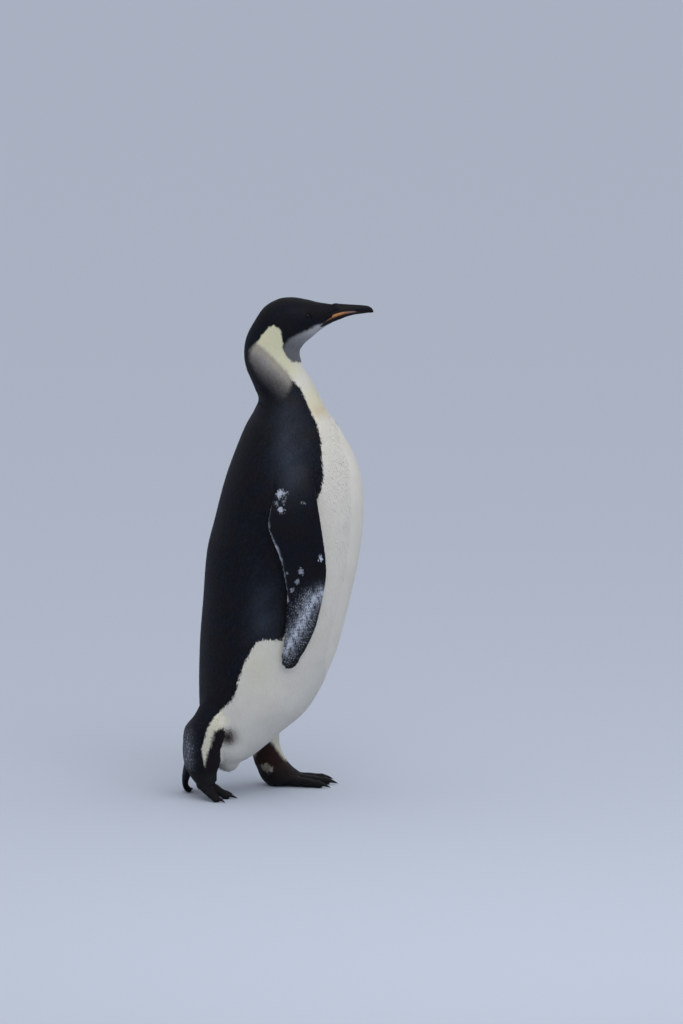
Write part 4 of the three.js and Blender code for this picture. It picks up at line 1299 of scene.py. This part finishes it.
for side in (RIGHT, LEFT):
    for name, (toe_root, toe_tip) in TOES[side].items():
        start, tip = toe_point(toe_root, side), toe_point(toe_tip, side)
        heading = (tip - start) * [1, 1, 0]
        heading /= np.linalg.norm(heading)
        shape = claw(tip + [0, 0, CLAW_RISE], heading, CLAW_LENGTH, CLAW_RADIUS, CLAW_DROP)
        piece = make_object(f"claw_{name}_{SIDE_NAMES[side]}_horn", *shape)
        dress(piece, claw_horn, "claw_horn", f"claw_{name}_{SIDE_NAMES[side]}")
    start, tip = hind_toe(side)
    heading = (tip - start) / np.linalg.norm(tip - start)
    shape = claw(tip, heading, CLAW_LENGTH / 2, CLAW_RADIUS * 0.7, CLAW_DROP / 2)
    piece = make_object(f"claw_hind_{SIDE_NAMES[side]}_horn", *shape)
    dress(piece, claw_horn, "claw_horn", f"claw_hind_{SIDE_NAMES[side]}")


# ---------------------------------------------------------------- tail

QUILL_ROWS = ((1, 9, 12.5), (-1, 8, 12.0))  # face of the tail (1 rear, -1 front), quills, width
QUILL_START = 1.2  # station where the quills come out from under the coverts
QUILL_STEPS = 26
# Across a quill, from edge to edge over the top and back below: share of its half width, and height.
QUILL_SECTION = ((-1, -0.3), (-0.12, 0.1), (0, 0.75), (0.12, 0.1), (1, -0.3), (0, -1.1))
TAIL_FLOOR = 0.4  # lowest height of a quill


def quill(face, spread, reach, width):
    """One stiff tail feather: a lance-shaped vane with a raised shaft, wrapped on a face of the tail."""
    rings = []
    for t in np.linspace(0, 1, QUILL_STEPS):
        row = along(TAIL, np.array(QUILL_START + (len(TAIL) - 1.3 - QUILL_START) * reach * t))
        back, front = np.array([row[0], 0, row[1]]), np.array([row[2], 0, row[3]])
        deep = (back - front) / 2 * face
        outward = deep / np.linalg.norm(deep)
        half = width / 2 * min(1, 0.5 + 2 * t) * (1 - t**4) ** 0.7 + 0.3
        ring = []
        for across, lift in QUILL_SECTION:
            share = np.clip(spread * 0.84 + across * half / row[4], -0.97, 0.97)
            ring.append((back + front) / 2 + deep * 0.8 * math.sqrt(1 - share**2)
                        + np.array([0, share * row[4], 0]) + outward * (lift + 0.5 * (1 - abs(spread))))
        rings.append(ring)
    points = np.array(rings).reshape(-1, 3)
    points[:, 2] = np.maximum(points[:, 2], TAIL_FLOOR)
    sides = len(QUILL_SECTION)
    end = (QUILL_STEPS - 1) * sides
    ends = [tuple(range(sides))[::-1], tuple(range(end, end + sides))]
    return points, faces_between(QUILL_STEPS, sides) + ends


def tail_core():
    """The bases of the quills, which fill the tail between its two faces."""
    rows = np.linspace(QUILL_START, len(TAIL) - 1.6, 40)
    return tube(lambda u, angle: tail_surface(u, angle, 2.6), rows, 40)


quills = [tail_core()]
for face, count, width in QUILL_ROWS:
    for spread in np.linspace(-1, 1, count):
        quills.append(quill(face, spread, 1 - 0.05 * spread**2 - 0.02 * (face < 0), width))
tail = make_object("tail_quills", *joined(quills))
for key, value in (("black", 1.0), ("lot", 0.6), ("tip", 0.5)):
    store(tail.data, key, value)
dress(tail, black_feather, "plumage_black", "tail")


# ---------------------------------------------------------------- floor, light and camera

CAMERA_DISTANCE = 60.0
CAMERA_RISE = math.radians(10)
VIEW_WIDTH, VIEW_HEIGHT = 683, 1024  # of the side view, in pixels
AIM = place([(VIEW_WIDTH / 2 - PLUMB_COLUMN) * PIXEL, 0, (FLOOR_ROW - VIEW_HEIGHT / 2) * ROW_HEIGHT])
FLOOR_HALF, FLOOR_LEVEL = 400.0, -0.0004  # it lies just under the feet
LAMP_PLACE, LAMP_TARGET = (0.7, -2.1, 2.8), (0, 0, 0.6)
SKY_LOW, SKY_HIGH = "#d6e0f2", "#f6f7fa"
SKY_STRENGTH = (0.58, 1.02)  # at the horizon and overhead


def pale_floor():
    """Matt emulsion paint, rolled: a cool pale grey with no gloss, so that only soft shadows show."""
    mesh = bpy.data.meshes.new("floor")
    corners = [(x * FLOOR_HALF, y * FLOOR_HALF, FLOOR_LEVEL) for x, y in ((-1, -1), (1, -1), (1, 1), (-1, 1))]
    mesh.from_pydata(corners, [], [(0, 1, 2, 3)])
    paint, _, _ = new_material("matt_floor_paint", colour=linear("#b9c1d0"), rough=0.9, shine=0.2)
    mesh.materials.append(paint)
    in_scene("floor", mesh)


def soft_light():
    """A bright overcast dome, cooler and dimmer at the horizon, and one large lamp above the bird."""
    world = bpy.data.worlds.new("soft_studio")
    world.use_nodes = True
    tree = world.node_tree
    sky = tree.nodes["Background"].inputs
    up = add_node(tree, "SeparateXYZ", (add_node(tree, "TexCoord", out="Generated"),), "Z")
    share = add_node(tree, "MapRange", (up, 0.0, 0.5, 0.0, 1.0))
    tree.links.new(add_node(tree, "Mix", {0: share, 6: SKY_LOW, 7: SKY_HIGH}, **COLOURS), sky["Color"])
    tree.links.new(add_node(tree, "MapRange", (up, 0.0, 1.0, *SKY_STRENGTH)), sky["Strength"])
    bpy.context.scene.world = world
    light = bpy.data.lights.new("overhead", "AREA")
    light.shape = "DISK"
    light.size = 3.0
    light.energy = 34
    lamp = in_scene("overhead", light)
    lamp.location = LAMP_PLACE
    lamp.rotation_euler = (Vector(LAMP_TARGET) - lamp.location).to_track_quat("-Z", "Y").to_euler()


def side_camera():
    """A long lens far off to the bird's right, a little above it."""
    data = bpy.data.cameras.new("camera")
    data.sensor_fit = "VERTICAL"
    data.sensor_height = 36.0
    data.lens = data.sensor_height * CAMERA_DISTANCE / (VIEW_HEIGHT * PIXEL * MM)
    data.clip_end = 1000
    camera = in_scene("camera", data)
    away = Vector((0, -math.cos(CAMERA_RISE), math.sin(CAMERA_RISE)))
    camera.location = Vector(AIM) + away * CAMERA_DISTANCE
    camera.rotation_euler = (-away).to_track_quat("-Z", "Y").to_euler()
    bpy.context.scene.camera = camera


pale_floor()
soft_light()
side_camera()
bpy.context.scene.view_settings.view_transform = "Standard"
